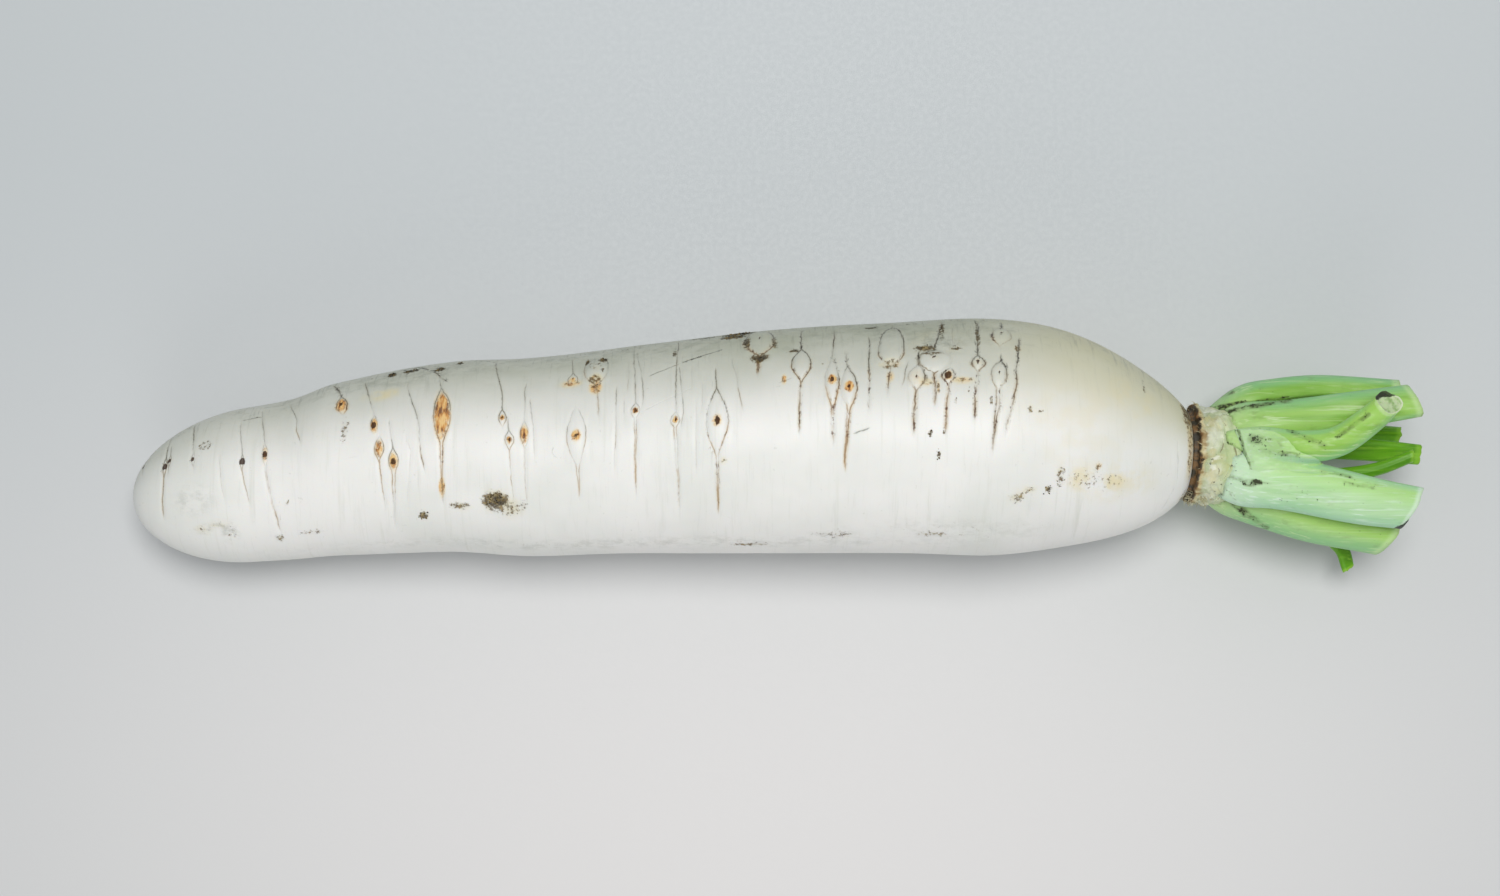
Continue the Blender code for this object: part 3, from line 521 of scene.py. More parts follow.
class Finish:
    """A procedural material. Each method adds a node and returns its output."""

    def __init__(self, name):
        self.material = bpy.data.materials.new(name)
        self.material.use_nodes = True
        self.tree = self.material.node_tree
        self.shader = self.tree.nodes["Principled BSDF"]
        self.place = self.node("ShaderNodeTexCoord").outputs["Object"]

    def node(self, kind, **settings):
        made = self.tree.nodes.new(kind)
        for key, value in settings.items():
            setattr(made, key, value)
        return made

    def give(self, socket, value):
        """Links an output to an input, or sets it. A colour is given as it is seen, from 0 to 255."""
        if isinstance(value, bpy.types.NodeSocket):
            self.tree.links.new(value, socket)
        elif socket.type == "RGBA":
            socket.default_value = seen(*value)
        else:
            socket.default_value = value

    def number(self, operation, *values):
        made = self.node("ShaderNodeMath", operation=operation)
        for socket, value in zip(made.inputs, values):
            self.give(socket, value)
        return made.outputs[0]

    def times(self, *values):
        product = values[0]
        for value in values[1:]:
            product = self.number("MULTIPLY", product, value)
        return product

    def plus(self, *values):
        total = values[0]
        for value in values[1:]:
            total = self.number("ADD", total, value)
        return total

    def rest(self, value):
        """What is left of 1."""
        return self.number("SUBTRACT", 1.0, value)

    def centred(self, value, reach):
        """Turns 0 to 1 into an even spread about 0 that is `reach` wide."""
        return self.times(self.number("SUBTRACT", value, 0.5), reach)

    def rise(self, value, low, high, floor=0.0, top=1.0):
        """A smooth rise from `floor` at `low` to `top` at `high`."""
        made = self.node("ShaderNodeMapRange", interpolation_type="SMOOTHSTEP")
        for socket, given in zip(made.inputs, (value, low, high, floor, top)):
            self.give(socket, given)
        return made.outputs[0]

    def noise(self, size, stretch=(1, 1, 1), detail=3.0, roughness=0.55, shift=0.0):
        """Noise whose lumps are about size across, in metres, and longer where stretch is more than 1."""
        spread = self.node("ShaderNodeMapping")
        self.give(spread.inputs["Vector"], self.place)
        spread.inputs["Location"].default_value = (shift, shift, shift)
        spread.inputs["Scale"].default_value = [0.5 / (size * share) for share in stretch]
        made = self.node("ShaderNodeTexNoise")
        self.give(made.inputs["Vector"], spread.outputs[0])
        made.inputs["Scale"].default_value = 1.0
        made.inputs["Detail"].default_value = detail
        made.inputs["Roughness"].default_value = roughness
        return made.outputs["Fac"]

    def attribute(self, name):
        """The three numbers of a mesh attribute."""
        read = self.node("ShaderNodeAttribute", attribute_name=name)
        split = self.node("ShaderNodeSeparateXYZ")
        self.give(split.inputs[0], read.outputs["Vector"])
        return split.outputs

    def over(self, colour, cover, share):
        """Lays the colour `cover` over another by a share."""
        made = self.node("ShaderNodeMix", data_type="RGBA")
        self.give(made.inputs[0], share)
        self.give(made.inputs[6], colour)
        self.give(made.inputs[7], cover)
        return made.outputs[2]

    def coat(self, cover, *shares):
        """Lays a colour over the material's own by the product of the shares."""
        self.colour = self.over(self.colour, cover, self.times(*shares))

    def finish(self, roughness, height, depth, **constants):
        """Sets the shader: colour, roughness, a bump of `depth` metres, and inputs that are the same
        all over the surface."""
        self.give(self.shader.inputs["Base Color"], self.colour)
        self.give(self.shader.inputs["Roughness"], roughness)
        bump = self.node("ShaderNodeBump")
        bump.inputs["Strength"].default_value = 1.0
        bump.inputs["Distance"].default_value = depth
        self.give(bump.inputs["Height"], height)
        self.give(self.shader.inputs["Normal"], bump.outputs[0])
        for key, value in constants.items():
            self.shader.inputs[key.replace("_", " ").title().replace("Ior", "IOR")].default_value = value
        return self.material


def seen(red, green, blue):
    """The shader's value of a colour that is given as it is seen, from 0 to 255."""
    return tuple(
        (v / 255 / 12.92 if v <= 10 else ((v / 255 + 0.055) / 1.055) ** 2.4) for v in (red, green, blue)
    ) + (1.0,)


def root_skin():
    """White waxy skin, grey-green towards its +Y side (partly the greening of its sun side, partly painted
    shade), with furrow lines, corky eyes and dirt.
    """
    skin = Finish("white root skin")
    skin.colour = skin.over((241, 241, 238), (230, 232, 227), skin.rise(skin.noise(0.018), 0.35, 0.7))
    streaks = skin.noise(0.0011, (1, 16, 16), 4)
    skin.coat((212, 214, 204), skin.rise(streaks, 0.56, 0.78), 0.4)
    pores = skin.rise(skin.noise(0.0006, (1.2, 1.6, 1.6), 3), 0.68, 0.76)
    skin.coat((170, 174, 160), pores, 0.2)

    rust, pit, soil = skin.attribute("eyes_and_soil")
    stain, smudge, warm = skin.attribute("stains")
    side, shoulder, upper = skin.attribute("flank")
    mottle = skin.rise(skin.noise(0.009, (1.6, 1, 1), 4), 0.3, 0.7, 0.75, 1.0)
    # Grey-green tint on the +Y flank, growing towards the shoulder: partly the skin's own greening and dirt,
    # partly painted shade.
    skin.coat((180, 184, 166), side, mottle, 0.84)
    skin.coat((220, 216, 180), shoulder, mottle, 0.62)
    # Grime and rings are drawn darker towards the top edge on the +Y side: real grime and rings, partly
    # painted shade along that edge.
    grime = skin.rise(skin.noise(0.0021, (1.6, 1, 1), 6, 0.72, 11.0), 0.5, 0.74)
    skin.coat((132, 137, 122), grime, upper, 0.5)
    rings = skin.rise(skin.noise(0.0006, (1, 12, 12), 4, 0.7, 5.0), 0.54, 0.7)
    skin.coat((118, 122, 108), rings, upper, 0.38)
    skin.coat((176, 180, 166), rings, 0.09)

    patchy = skin.rise(skin.noise(0.0035, detail=4), 0.38, 0.62)
    skin.coat((230, 214, 154), stain, patchy, 0.65)
    smoky = skin.rise(skin.noise(0.0018, (1.4, 1, 1), 6, 0.72), 0.42, 0.66)
    skin.coat((128, 133, 116), smudge, smoky, 0.62)

    fibres = skin.noise(0.0006, (1, 4, 4), 4, 0.65)
    fine = skin.centred(skin.noise(0.0007, detail=4, roughness=0.65), 1.0)
    ragged = skin.plus(rust, skin.times(fine, 1.7))
    corky = skin.times(skin.rise(ragged, 0.34, 0.86), skin.rise(rust, 0.0, 0.3))
    cork = skin.over((236, 198, 132), (206, 138, 58), skin.rise(fibres, 0.38, 0.56))
    cork = skin.over(cork, (112, 62, 28), skin.rise(fibres, 0.51, 0.62))
    halo = skin.rise(rust, 0.02, 0.8)
    skin.coat((240, 212, 150), halo, 0.6)
    skin.coat(cork, corky, 0.9)

    grains = skin.noise(0.0005, (1, 1.6, 1.6), 4, 0.65, 3.0)
    gaps = skin.noise(0.0042, (1, 1.4, 1.4), 3, 0.6, 6.0)
    uneven = skin.number("MULTIPLY_ADD", gaps, 2.0, -0.5)
    wobble = skin.plus(skin.centred(skin.noise(0.0036, detail=3), 5.0), skin.times(fine, 2.2))
    thin = skin.over((118, 121, 110), (190, 160, 120), warm)
    dots = skin.over((52, 53, 46), (104, 68, 40), warm)
    line_colour = skin.over(thin, dots, skin.rise(grains, 0.52, 0.66))
    tint = skin.over((186, 189, 176), (218, 198, 160), warm)
    height = skin.times(skin.noise(0.0016, (1, 8, 8), 3), 0.2)
    for layer in LINE_LAYERS:
        beside, half_width, ink = skin.attribute(layer)
        off = skin.number("SUBTRACT", skin.number("ABSOLUTE", skin.plus(beside, wobble)), half_width)
        off = skin.number("ABSOLUTE", off)
        near = skin.rest(skin.rise(off, 0.0, 1.25))
        wide = skin.rest(skin.rise(off, 0.4, 3.6))
        strength = skin.plus(uneven, skin.times(ink, 0.42))
        deep = skin.over(line_colour, dots, skin.rise(ink, 0.6, 1.0, 0.0, 0.55))
        broken = skin.plus(skin.times(strength, 0.8), skin.times(grains, 0.4))
        broken = skin.rise(broken, 0.58, 0.98)
        shown = skin.rise(ink, 0.0, 1.0)
        skin.coat(tint, wide, shown, skin.rise(strength, 0.5, 1.0), 0.6)
        skin.coat(deep, near, broken, skin.rise(ink, 0.05, 0.85))
        strewn = skin.times(wide, skin.rise(grains, 0.55, 0.62), skin.rise(ink, 0.55, 0.95))
        skin.coat(dots, strewn, 0.85)
        height = skin.number("SUBTRACT", height, skin.times(near, skin.rise(ink, 0.0, 0.6), 0.45))

    hollow = skin.rise(skin.plus(pit, skin.centred(fibres, 1.6)), 0.42, 0.66)
    hollow = skin.times(hollow, skin.rise(pit, 0.0, 0.3))
    skin.coat((60, 34, 18), hollow, 0.9)

    crumbs = skin.noise(0.0006, detail=5, roughness=0.72, shift=5.0)
    crumbs = skin.plus(crumbs, skin.times(soil, 0.4))
    dirty = skin.times(skin.rise(crumbs, 0.66, 0.8), skin.rise(soil, 0.02, 0.25))
    # Soil is drawn greyer and darker towards the +Y top edge, partly as painted shade.
    light = skin.over((172, 150, 96), (92, 88, 70), upper)
    dark = skin.over((116, 92, 54), (56, 43, 25), skin.rise(soil, 0.5, 0.9))
    dark = skin.over(dark, (36, 34, 28), upper)
    earth = skin.over(dark, light, skin.rise(skin.noise(0.001, detail=4, shift=2.0), 0.48, 0.68))
    skin.coat((180, 176, 146), skin.rise(soil, 0.2, 0.9), 0.4)
    skin.coat(earth, dirty, 0.88)

    height = skin.number("SUBTRACT", height, skin.times(hollow, 0.8))
    height = skin.plus(height, skin.times(dirty, 0.7))
    height = skin.plus(height, skin.times(corky, fibres, 0.9))
    rough = skin.number("MAXIMUM", skin.number("MAXIMUM", dirty, corky), hollow)
    roughness = skin.rise(skin.plus(rough, skin.times(skin.noise(0.006), 0.2)), 0.0, 1.0, 0.46, 0.85)
    return skin.finish(
        roughness, height, 0.00022,
        subsurface_weight=0.12, subsurface_radius=(0.004, 0.003, 0.002), subsurface_scale=1.0, ior=1.42,
    )


def make_root():
    """The whole root with its skin's relief, and the neck that the crown hides."""
    places = root_ring_places()
    even = 360 * np.arange(ROOT_SEGMENTS) / ROOT_SEGMENTS
    turns = even - SEGMENT_CROWDING * np.sin(np.radians(2 * (even - SCAR_ROW_TURN)))
    along, turn = places[:, None], turns[None, :]
    girth = np.array([girth_of_root(place) for place in places])[:, None]
    middle = np.array([axis_of_root(place) for place in places])
    relief, lines, marks, stains, fresh_and_lit = skin_of_root(along, turn)
    sine, cosine = np.sin(np.radians(turn)), np.cos(np.radians(turn))
    for i in range(len(places)):
        for j in range(ROOT_SEGMENTS):
            spot = Vector((places[i], girth[i, 0] * sine[0, j], girth[i, 0] * cosine[0, j])) / LUMP_SIZE
            relief[i, j] += LUMP_HEIGHT * noise.noise(spot)
    skin = girth + relief * smooth_step(girth, 2, 14)
    rings = np.stack(
        [
            np.broadcast_to(along, skin.shape),
            middle[:, :1] + skin * sine,
            np.maximum(0.0, middle[:, 1:] + HEIGHT_TO_WIDTH * skin * cosine),
        ],
        axis=-1,
    )
    end = np.array([ROOT_LENGTH, *axis_of_root(ROOT_LENGTH)])
    lean = (rings[-1] - end) @ CROWN_AXIS / CROWN_AXIS[0]
    near_end = smooth_step(places, ROOT_LENGTH - 16, ROOT_LENGTH)
    rings[:, :, 0] += near_end[:, None] * (NECK_BULGE * cosine - lean[None, :])
    rim = [end + (rings[-1] - end) * share + CROWN_AXIS * further for further, share in SHOULDER_RIM]
    rings = np.concatenate([rings, rim])

    def to_rim(values):
        return np.concatenate([values] + [values[-1:]] * len(rim))

    # Masks of the flank tint: the +Y side, tinted grey-green partly as painted shade; the shoulder's
    # yellowish tint; and the +Y top edge, where grime, rings and soil are drawn darker partly as painted
    # shade.
    side = smooth_step(np.broadcast_to(turned_back(turn), skin.shape), 2, 66)
    side = side * (1 - smooth_step(np.abs(turned_back(turn)), 110, 170))
    from_tip = 0.8 + 0.2 * smooth_step(along, 20, 120) + 0.28 * smooth_step(along, 165, 205)
    shoulder = smooth_step(along, 255, 312) * smooth_step(turned_back(turn), -12, 46)
    upper = smooth_step(np.broadcast_to(turned_back(turn), skin.shape), 34, 78) * (side > 0)
    # Inside parted scars the +Y tint and top-edge grime are weaker, a small painted highlight.
    flank = np.stack([side * from_tip * (1 - 0.06 * fresh_and_lit), shoulder, upper * (1 - 0.25 * fresh_and_lit)], -1)
    attributes = {"eyes_and_soil": marks, "stains": stains, "flank": flank}
    attributes.update(zip(LINE_LAYERS, lines))
    attributes = {name: to_rim(values) for name, values in attributes.items()}
    tip = np.array([0.0, *axis_of_root(0)])
    neck = end - CROWN_AXIS * 1.2
    box_low, box_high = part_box("taproot")
    shift = np.array([box_low[0] / MM, 0.0, 0.0])
    shift[1] = (box_low[1] + box_high[1]) / 2 / MM - (rings[..., 1].min() + rings[..., 1].max()) / 2
    points = [(places + shift) * MM for places in (rings, tip, neck)]
    return closed_tube("root", *points, attributes), shift


CROWN_AXIS = np.array([1.0, -0.045, -0.035])
CROWN_AXIS = CROWN_AXIS / np.linalg.norm(CROWN_AXIS)
root, frame_shift = make_root()
root.data.materials.append(root_skin())
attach(root, "root")
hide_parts("taproot")

# The crown
# The crown is the radish's short stem, a corky knob that the leaves grew from. It grows out of the root's
# shoulder, past a groove under a torn tan lip that is dark with soil and painted shade. Old leaves left
# ragged rings across it.

CrownRing = namedtuple("CrownRing", "along radius tan ragged")
CROWN_RINGS = (
    CrownRing(0.3, 11.6, 0.0, 0.0),
    CrownRing(0.5, 12.8, 0.0, 0.1),
    CrownRing(1.4, 13.1, 0.1, 0.3),
    CrownRing(1.9, 13.8, 0.6, 0.8),
    CrownRing(2.0, 15.2, 1.0, 1.0),
    CrownRing(2.6, 15.8, 1.0, 1.0),
    CrownRing(3.6, 15.7, 0.62, 0.8),
    CrownRing(4.8, 15.2, 0.35, 0.7),
    CrownRing(6.4, 15.5, 0.2, 0.8),
    CrownRing(8.4, 15.7, 0.12, 0.9),
    CrownRing(10.4, 15.3, 0.08, 1.0),
    CrownRing(12.4, 15.0, 0.04, 1.0),
    CrownRing(14.4, 14.6, 0.0, 1.0),
    CrownRing(16.4, 13.8, 0.0, 0.9),
    CrownRing(18.2, 12.0, 0.0, 0.7),
    CrownRing(19.6, 8.6, 0.0, 0.4),
    CrownRing(20.3, 4.0, 0.0, 0.1),
)
CROWN_END = 20.5
CROWN_RING_COUNT = 150
CROWN_SEGMENTS = 200
FLAKE_SPACING, FLAKE_HEIGHT = 3.4, 0.5
CROWN_ROUGHNESS, CROWN_FOLDS = 0.36, 0.6


def crown_frame():
    """Where the crown starts, and the frame in which X runs along it, in mm."""
    end = Vector((ROOT_LENGTH, *axis_of_root(ROOT_LENGTH))) + Vector(frame_shift)
    turned = Vector(CROWN_AXIS).to_track_quat("X", "Z").to_matrix().to_4x4()
    return Matrix.Translation(end) @ turned


def in_frame(matrix, points):
    """Points in mm, moved by a frame, in metres."""
    points = np.asarray(points)
    turn = np.array(matrix.to_3x3())
    return (points @ turn.T + np.array(matrix.translation)) * MM


def crown_cork():
    """Pale corky tissue, tan and torn at the lip, with soil in its creases and a groove dark with soil and
    painted shade.
    """
    cork = Finish("corky crown")
    along, crease, tan = cork.attribute("crown_place")
    fibre = cork.noise(0.0011, (3.2, 1, 1), 5, 0.62)
    blotch = cork.noise(0.004, detail=4)
    cork.colour = cork.over((214, 219, 196), (178, 190, 148), cork.rise(blotch, 0.42, 0.66))
    ochre = cork.rise(cork.noise(0.0026, detail=4, shift=4.0), 0.5, 0.66, 0, 0.45)
    cork.coat((206, 192, 130), ochre)
    chalky = cork.rise(cork.noise(0.0012, (2, 1, 1), 4, shift=7.0), 0.56, 0.68, 0, 0.7)
    cork.coat((236, 238, 224), chalky)
    green = cork.rise(along, 6.0, 13.0)
    cork.coat((196, 216, 156), green, 0.5)
    lip = cork.rise(cork.plus(tan, cork.centred(fibre, 1.1)), 0.3, 0.8)
    bark = cork.over((210, 196, 150), (150, 120, 72), cork.rise(fibre, 0.44, 0.64))
    cork.coat(bark, lip, 0.92)
    # The groove under the lip is dark brown to near black: soil, partly painted shade in the recess.
    groove = cork.rest(cork.rise(along, 1.3, 3.7))
    groove = cork.rise(cork.plus(groove, cork.centred(blotch, 0.9)), 0.3, 0.7)
    dark_mud_and_shade = cork.over((38, 27, 18), (122, 88, 50), cork.rise(fibre, 0.42, 0.62))
    cork.coat(dark_mud_and_shade, groove, 0.95)
    grime = cork.times(cork.noise(0.0012, detail=4, shift=9.0), 0.9)
    dirty = cork.rise(cork.plus(crease, grime), 0.94, 1.12)
    cork.coat((112, 96, 58), dirty, 0.6)
    specks = cork.rise(cork.noise(0.0007, detail=3, roughness=0.6, shift=3.0), 0.62, 0.66)
    patches = cork.rise(cork.noise(0.0036, detail=3, shift=6.0), 0.5, 0.6)
    soiled = cork.times(specks, patches)
    cork.coat((34, 28, 20), soiled, 0.95)
    height = cork.plus(cork.times(fibre, 0.8), cork.times(soiled, 0.3))
    return cork.finish(
        cork.rise(fibre, 0.3, 0.7, 0.5, 0.8), height, 0.0005,
        subsurface_weight=0.08, subsurface_radius=(0.003, 0.003, 0.0015), subsurface_scale=1.0,
    )


def make_crown():
    """The crown turned about its axis, with its lip torn and its leaf scars as overlapping ragged rings."""
    steps = np.linspace(0, len(CROWN_RINGS) - 1, CROWN_RING_COUNT)
    numbered = [(n, *ring) for n, ring in enumerate(CROWN_RINGS)]
    rings, place, torn = [], [], []
    for step in steps:
        along, radius, tan, ragged = (smooth_value(numbered, step, column) for column in (1, 2, 3, 4))
        for n in range(CROWN_SEGMENTS):
            angle = 2 * math.pi * n / CROWN_SEGMENTS
            cosine, sine = math.cos(angle), math.sin(angle)
            lobes = 0.022 * math.sin(5 * angle + 0.4 * along) + 0.018 * math.sin(3 * angle + 0.6 * along)
            drift = noise.noise((2.2 * cosine, 2.2 * sine, 0.1 * along))
            phase = (along + 5.2 * drift + 1.6 * cosine) / FLAKE_SPACING
            flake = phase - math.floor(phase)
            crease = max(0.0, 1 - flake / 0.16) + max(0.0, (flake - 0.9) / 0.1)
            fade = noise.noise((3.1 * cosine + 7, 3.1 * sine, 0.4 * along))
            crease *= float(smooth_step(fade, -0.15, 0.35))
            rough = noise.fractal((4 * cosine, 4 * sine, 0.35 * along), 0.6, 2.1, 4)
            fray = noise.noise((9 * cosine, 9 * sine, 3.0)) + 0.5 * noise.noise((23 * cosine, 23 * sine, 5.0))
            reach = radius * (1 + lobes * min(1, along / 6))
            folds = 1 - 2 * abs(noise.noise((2.6 * cosine, 2.6 * sine, 0.36 * along + 4)))
            flakes = FLAKE_HEIGHT * (0.5 - flake) * smooth_step(along, 4, 6)
            reach += ragged * (flakes + CROWN_ROUGHNESS * rough + CROWN_FOLDS * (folds - 0.6))
            x = along + tan * 0.75 * fray + NECK_BULGE * sine * (1 - smooth_step(along, 1.0, 11.0))
            rings.append((x, reach * cosine, reach * sine))
            place.append((along, crease * ragged * smooth_step(along, 4, 6), tan))
            front = smooth_step(-cosine, 0.72, 0.95) * (1 - smooth_step(along, 5, 10))
            torn.append((max(0.25 * tan, float(front)), 0.0, 0.0))
    shape = (CROWN_RING_COUNT, CROWN_SEGMENTS, 3)
    frame_of_crown = crown_frame()
    rings = in_frame(frame_of_crown, np.array(rings)).reshape(shape)
    start, end = in_frame(frame_of_crown, [(CROWN_RINGS[0].along, 0, 0), (CROWN_END, 0, 0)])
    attributes = {"crown_place": np.array(place).reshape(shape), "crown_torn": np.array(torn).reshape(shape)}
    return closed_tube("crown_cork", rings, start, end, attributes)


crown = make_crown()
crown.data.materials.append(crown_cork())
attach(crown, "root")
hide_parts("crown")

# The leaf stalks
# Eleven fleshy leaf stalks grow from the crown, with broad bases that clasp it and each other. They were
# cut across a few centimetres up, so each ends in a slanted cut face with a thin rim round its pale pith.

# A stalk's path is given from STALK_START on the crown's axis: (towards +X, towards +Y, up), in mm.
# back says which way its rounded back faces, and tone how much paler, deeper and more lime it is.
Stalk = namedtuple(
    "Stalk",
    "name path width depth channel back cut_slope skin rot cut_lean tone",
    defaults=(0.0, 0.0, (0, 0, 0)),
)
STALKS = (
    Stalk("curved_front", ((-8, 3, 9), (5, 4.2, 14.5), (17, 3.7, 18.5), (28, 5.8, 21.5), (37, 13, 25),
          (42.6, 19.3, 28)), 9.6, 7.0, 0.8, (0.1, -0.35, 1), -0.25, "leaf_stalk", 1.5, 0.85, (0, 0, 0.35)),
    Stalk("broad_front", ((-8, -6, 8), (4, -6.9, 11.5), (16, -8, 13.5), (38.4, -12, 15), (54.5, -13.9, 14.5)),
          16.2, 9.4, 1.4, (0, -0.35, 1), 0.28, "leaf_stalk_pale", 1.1, 0.1),
    Stalk("broad_upper", ((-8, 7.5, 5), (4, 10.6, 7.5), (16, 12.2, 9), (34, 15.8, 9.5), (55.5, 20, 8.5)),
          12.6, 8.2, 1.4, (0, 0.55, 1), -0.22, "leaf_stalk"),
    Stalk("arched_back", ((-10, 10, -1.5), (2.6, 17.4, -1), (12, 20.2, -1), (28, 22.6, -2),
          (53.8, 22.8, -3.5)), 11.5, 7.4, 1.2, (0, 1, 0.15), 0.1, "leaf_stalk", 0.0, 0.0, (0, 0.5, 0)),
    Stalk("low_front", ((-8, -9, -1), (2.6, -12.8, 0), (13.5, -16.2, 1), (28.5, -20.4, 2),
          (50.6, -24.4, 1.5)), 15.2, 8.2, 1.4, (0, -0.75, 0.7), 0.32, "leaf_stalk", 0.15, 0.0, (0.55, 0, 0)),
    Stalk("inner_thin", ((-2, -3, 4), (16, -4.4, 5), (34, -4.5, 4.2), (46, -2, 4.4), (57, 2.6, 5.4)),
          4.4, 3.6, 0.4, (0, -0.6, 1), 0.35, "leaf_stalk_young", 0.3),
    Stalk("inner_right", ((-2, 1.5, -1), (16, 3.2, -1.6), (36, 4.2, -2.5), (62, 3, -3.5)),
          7.4, 5.6, 0.8, (0, 0.2, -1), 0.0, "leaf_stalk_young"),
    Stalk("inner_upper", ((-2, 6.2, -4), (16, 8.6, -7), (36, 9.4, -9), (57, 9.2, -9.5)),
          6.0, 4.8, 0.6, (0, 0.8, -1), 0.0, "leaf_stalk_young"),
    Stalk("low_thin", ((-6, -10, -8), (12, -14.5, -10.8), (30, -21, -12.8), (40, -27.5, -13.8),
          (43.5, -35, -14)), 5.0, 4.2, 0.5, (0, -0.7, -1), 0.2, "leaf_stalk_young", 0.4),
    Stalk("under_back", ((-8, 7, -8), (8, 11.8, -12.5), (28, 15.5, -17.5), (50, 17.5, -21)),
          12.0, 7.8, 1.3, (0, 0.5, -1), 0.15, "leaf_stalk"),
    Stalk("under_front", ((-8, -3, -9), (8, -4.6, -14), (28, -9.5, -20), (52, -14.5, -24)),
          12.5, 8.0, 1.3, (0, -0.3, -1), -0.1, "leaf_stalk"),
)
STALK_START = 15.7
# How wide and how deep a stalk is along its path, as shares of its own width and depth.
STALK_SWELL = ((0.0, 0.7), (0.1, 1.02), (0.2, 1.16), (0.36, 1.12), (0.7, 1.02), (1.0, 0.9))
STALK_DEPTH = ((0.0, 0.3), (0.12, 0.72), (0.24, 1.02), (0.4, 1.08), (0.7, 1.02), (1.0, 0.9))
STALK_RING_COUNT = 76
STALK_SEGMENTS = 48
CUT_SINK = 0.68  # how far the middle of a cut face is sunk
CUT_FACE = (  # the face's rings, each a share of the cut's size, and how far it is sunk
    (0.985, -0.02), (0.95, 0.10), (0.9, 0.22), (0.84, 0.5), (0.78, 0.72), (0.6, 0.78), (0.4, 0.72),
    (0.2, CUT_SINK),
)
RIB_SPACING, RIB_HEIGHT = 1.7, 0.07  # ribs round the stalk, in mm


def path_point(path, t):
    """A point at t, from 0 to 1, on the smooth curve through a path, and the curve's direction there."""
    spans = len(path) - 1
    numbered = [(n / spans, *point) for n, point in enumerate(path)]

    def at(value):
        return np.array([smooth_value(numbered, value, column) for column in (1, 2, 3)])

    step = 1e-3
    ahead = at(min(1.0, t + step)) - at(max(0.0, t - step))
    return at(t), ahead / np.linalg.norm(ahead)


def make_stalk(stalk):
    """A leaf stalk swept along its path, from inside the crown to its cut end, and its frame."""
    seed = sum(map(ord, stalk.name)) % 97
    rib_count = round(math.pi * stalk.width / RIB_SPACING)
    angles = 2 * math.pi * np.arange(STALK_SEGMENTS) / STALK_SEGMENTS
    cosine, sine = np.cos(angles), np.sin(angles)
    rings, place, marks = [], [], []
    for number in range(STALK_RING_COUNT):
        t = number / (STALK_RING_COUNT - 1)
        middle, ahead = path_point(stalk.path, t)
        out = np.array(stalk.back, float)
        out -= out @ ahead * ahead
        out /= np.linalg.norm(out)
        sideways = np.cross(out, ahead)
        swell = smooth_value(STALK_SWELL, t, 1)
        half = swell * stalk.width / 2
        side = half * cosine
        thick = smooth_value(STALK_DEPTH, t, 1)
        out_high = thick * stalk.depth * 0.62 * sine
        out_low = thick * (stalk.depth * 0.38 * sine + stalk.channel * sine**4)
        depth = np.where(sine >= 0, out_high, out_low)
        ribs = RIB_HEIGHT * np.cos(rib_count * angles + seed) * np.clip(sine + 0.4, 0, 1)
        bump = [0.3 * noise.noise((0.6 * c, 0.6 * s, 3.0 * t + seed)) for c, s in zip(cosine, sine)]
        side = side + (ribs + bump) * cosine
        depth = depth + (ribs + bump) * sine
        slant = stalk.cut_slope * smooth_step(t, 0.8, 1.0) * side
        lean = stalk.cut_lean * smooth_step(t, 0.75, 1.0) * depth
        torn = [
            0.5 * noise.noise((1.4 * c, 1.4 * s, seed)) + 0.2 * noise.noise((5 * c, 5 * s, seed))
            for c, s in zip(cosine, sine)
        ]
        further = slant - lean + smooth_step(t, 0.93, 1.0) * np.array(torn)
        rings.append(middle + np.outer(side, sideways) + np.outer(depth, out) + np.outer(further, ahead))
        place.append(np.stack([np.full(STALK_SEGMENTS, t), cosine, sine], -1))
        marks.append(np.zeros((STALK_SEGMENTS, 3)))
    end, ahead = path_point(stalk.path, 1)
    last = rings[-1]
    for share, sunk in CUT_FACE:
        rings.append(end + (last - end) * share - ahead * sunk)
        place.append(np.stack([np.full(STALK_SEGMENTS, 1.0), cosine * share, sine * share], -1))
        marks.append(np.tile([0.0, 1.0, 0.0], (STALK_SEGMENTS, 1)))
    frame_of_stalk = crown_frame() @ Matrix.Translation(Vector((STALK_START, 0, 0)))
    shape = (len(rings), STALK_SEGMENTS, 3)
    rings = in_frame(frame_of_stalk, np.array(rings).reshape(-1, 3)).reshape(shape)
    tips = in_frame(frame_of_stalk, [path_point(stalk.path, 0)[0], end - ahead * CUT_SINK])
    tone = np.tile(np.array(stalk.tone, float), (len(rings), STALK_SEGMENTS, 1))
    attributes = {"stalk_place": np.array(place), "stalk_marks": np.array(marks), "stalk_tone": tone}
    return closed_tube("stalk_" + stalk.name, rings, tips[0], tips[1], attributes)


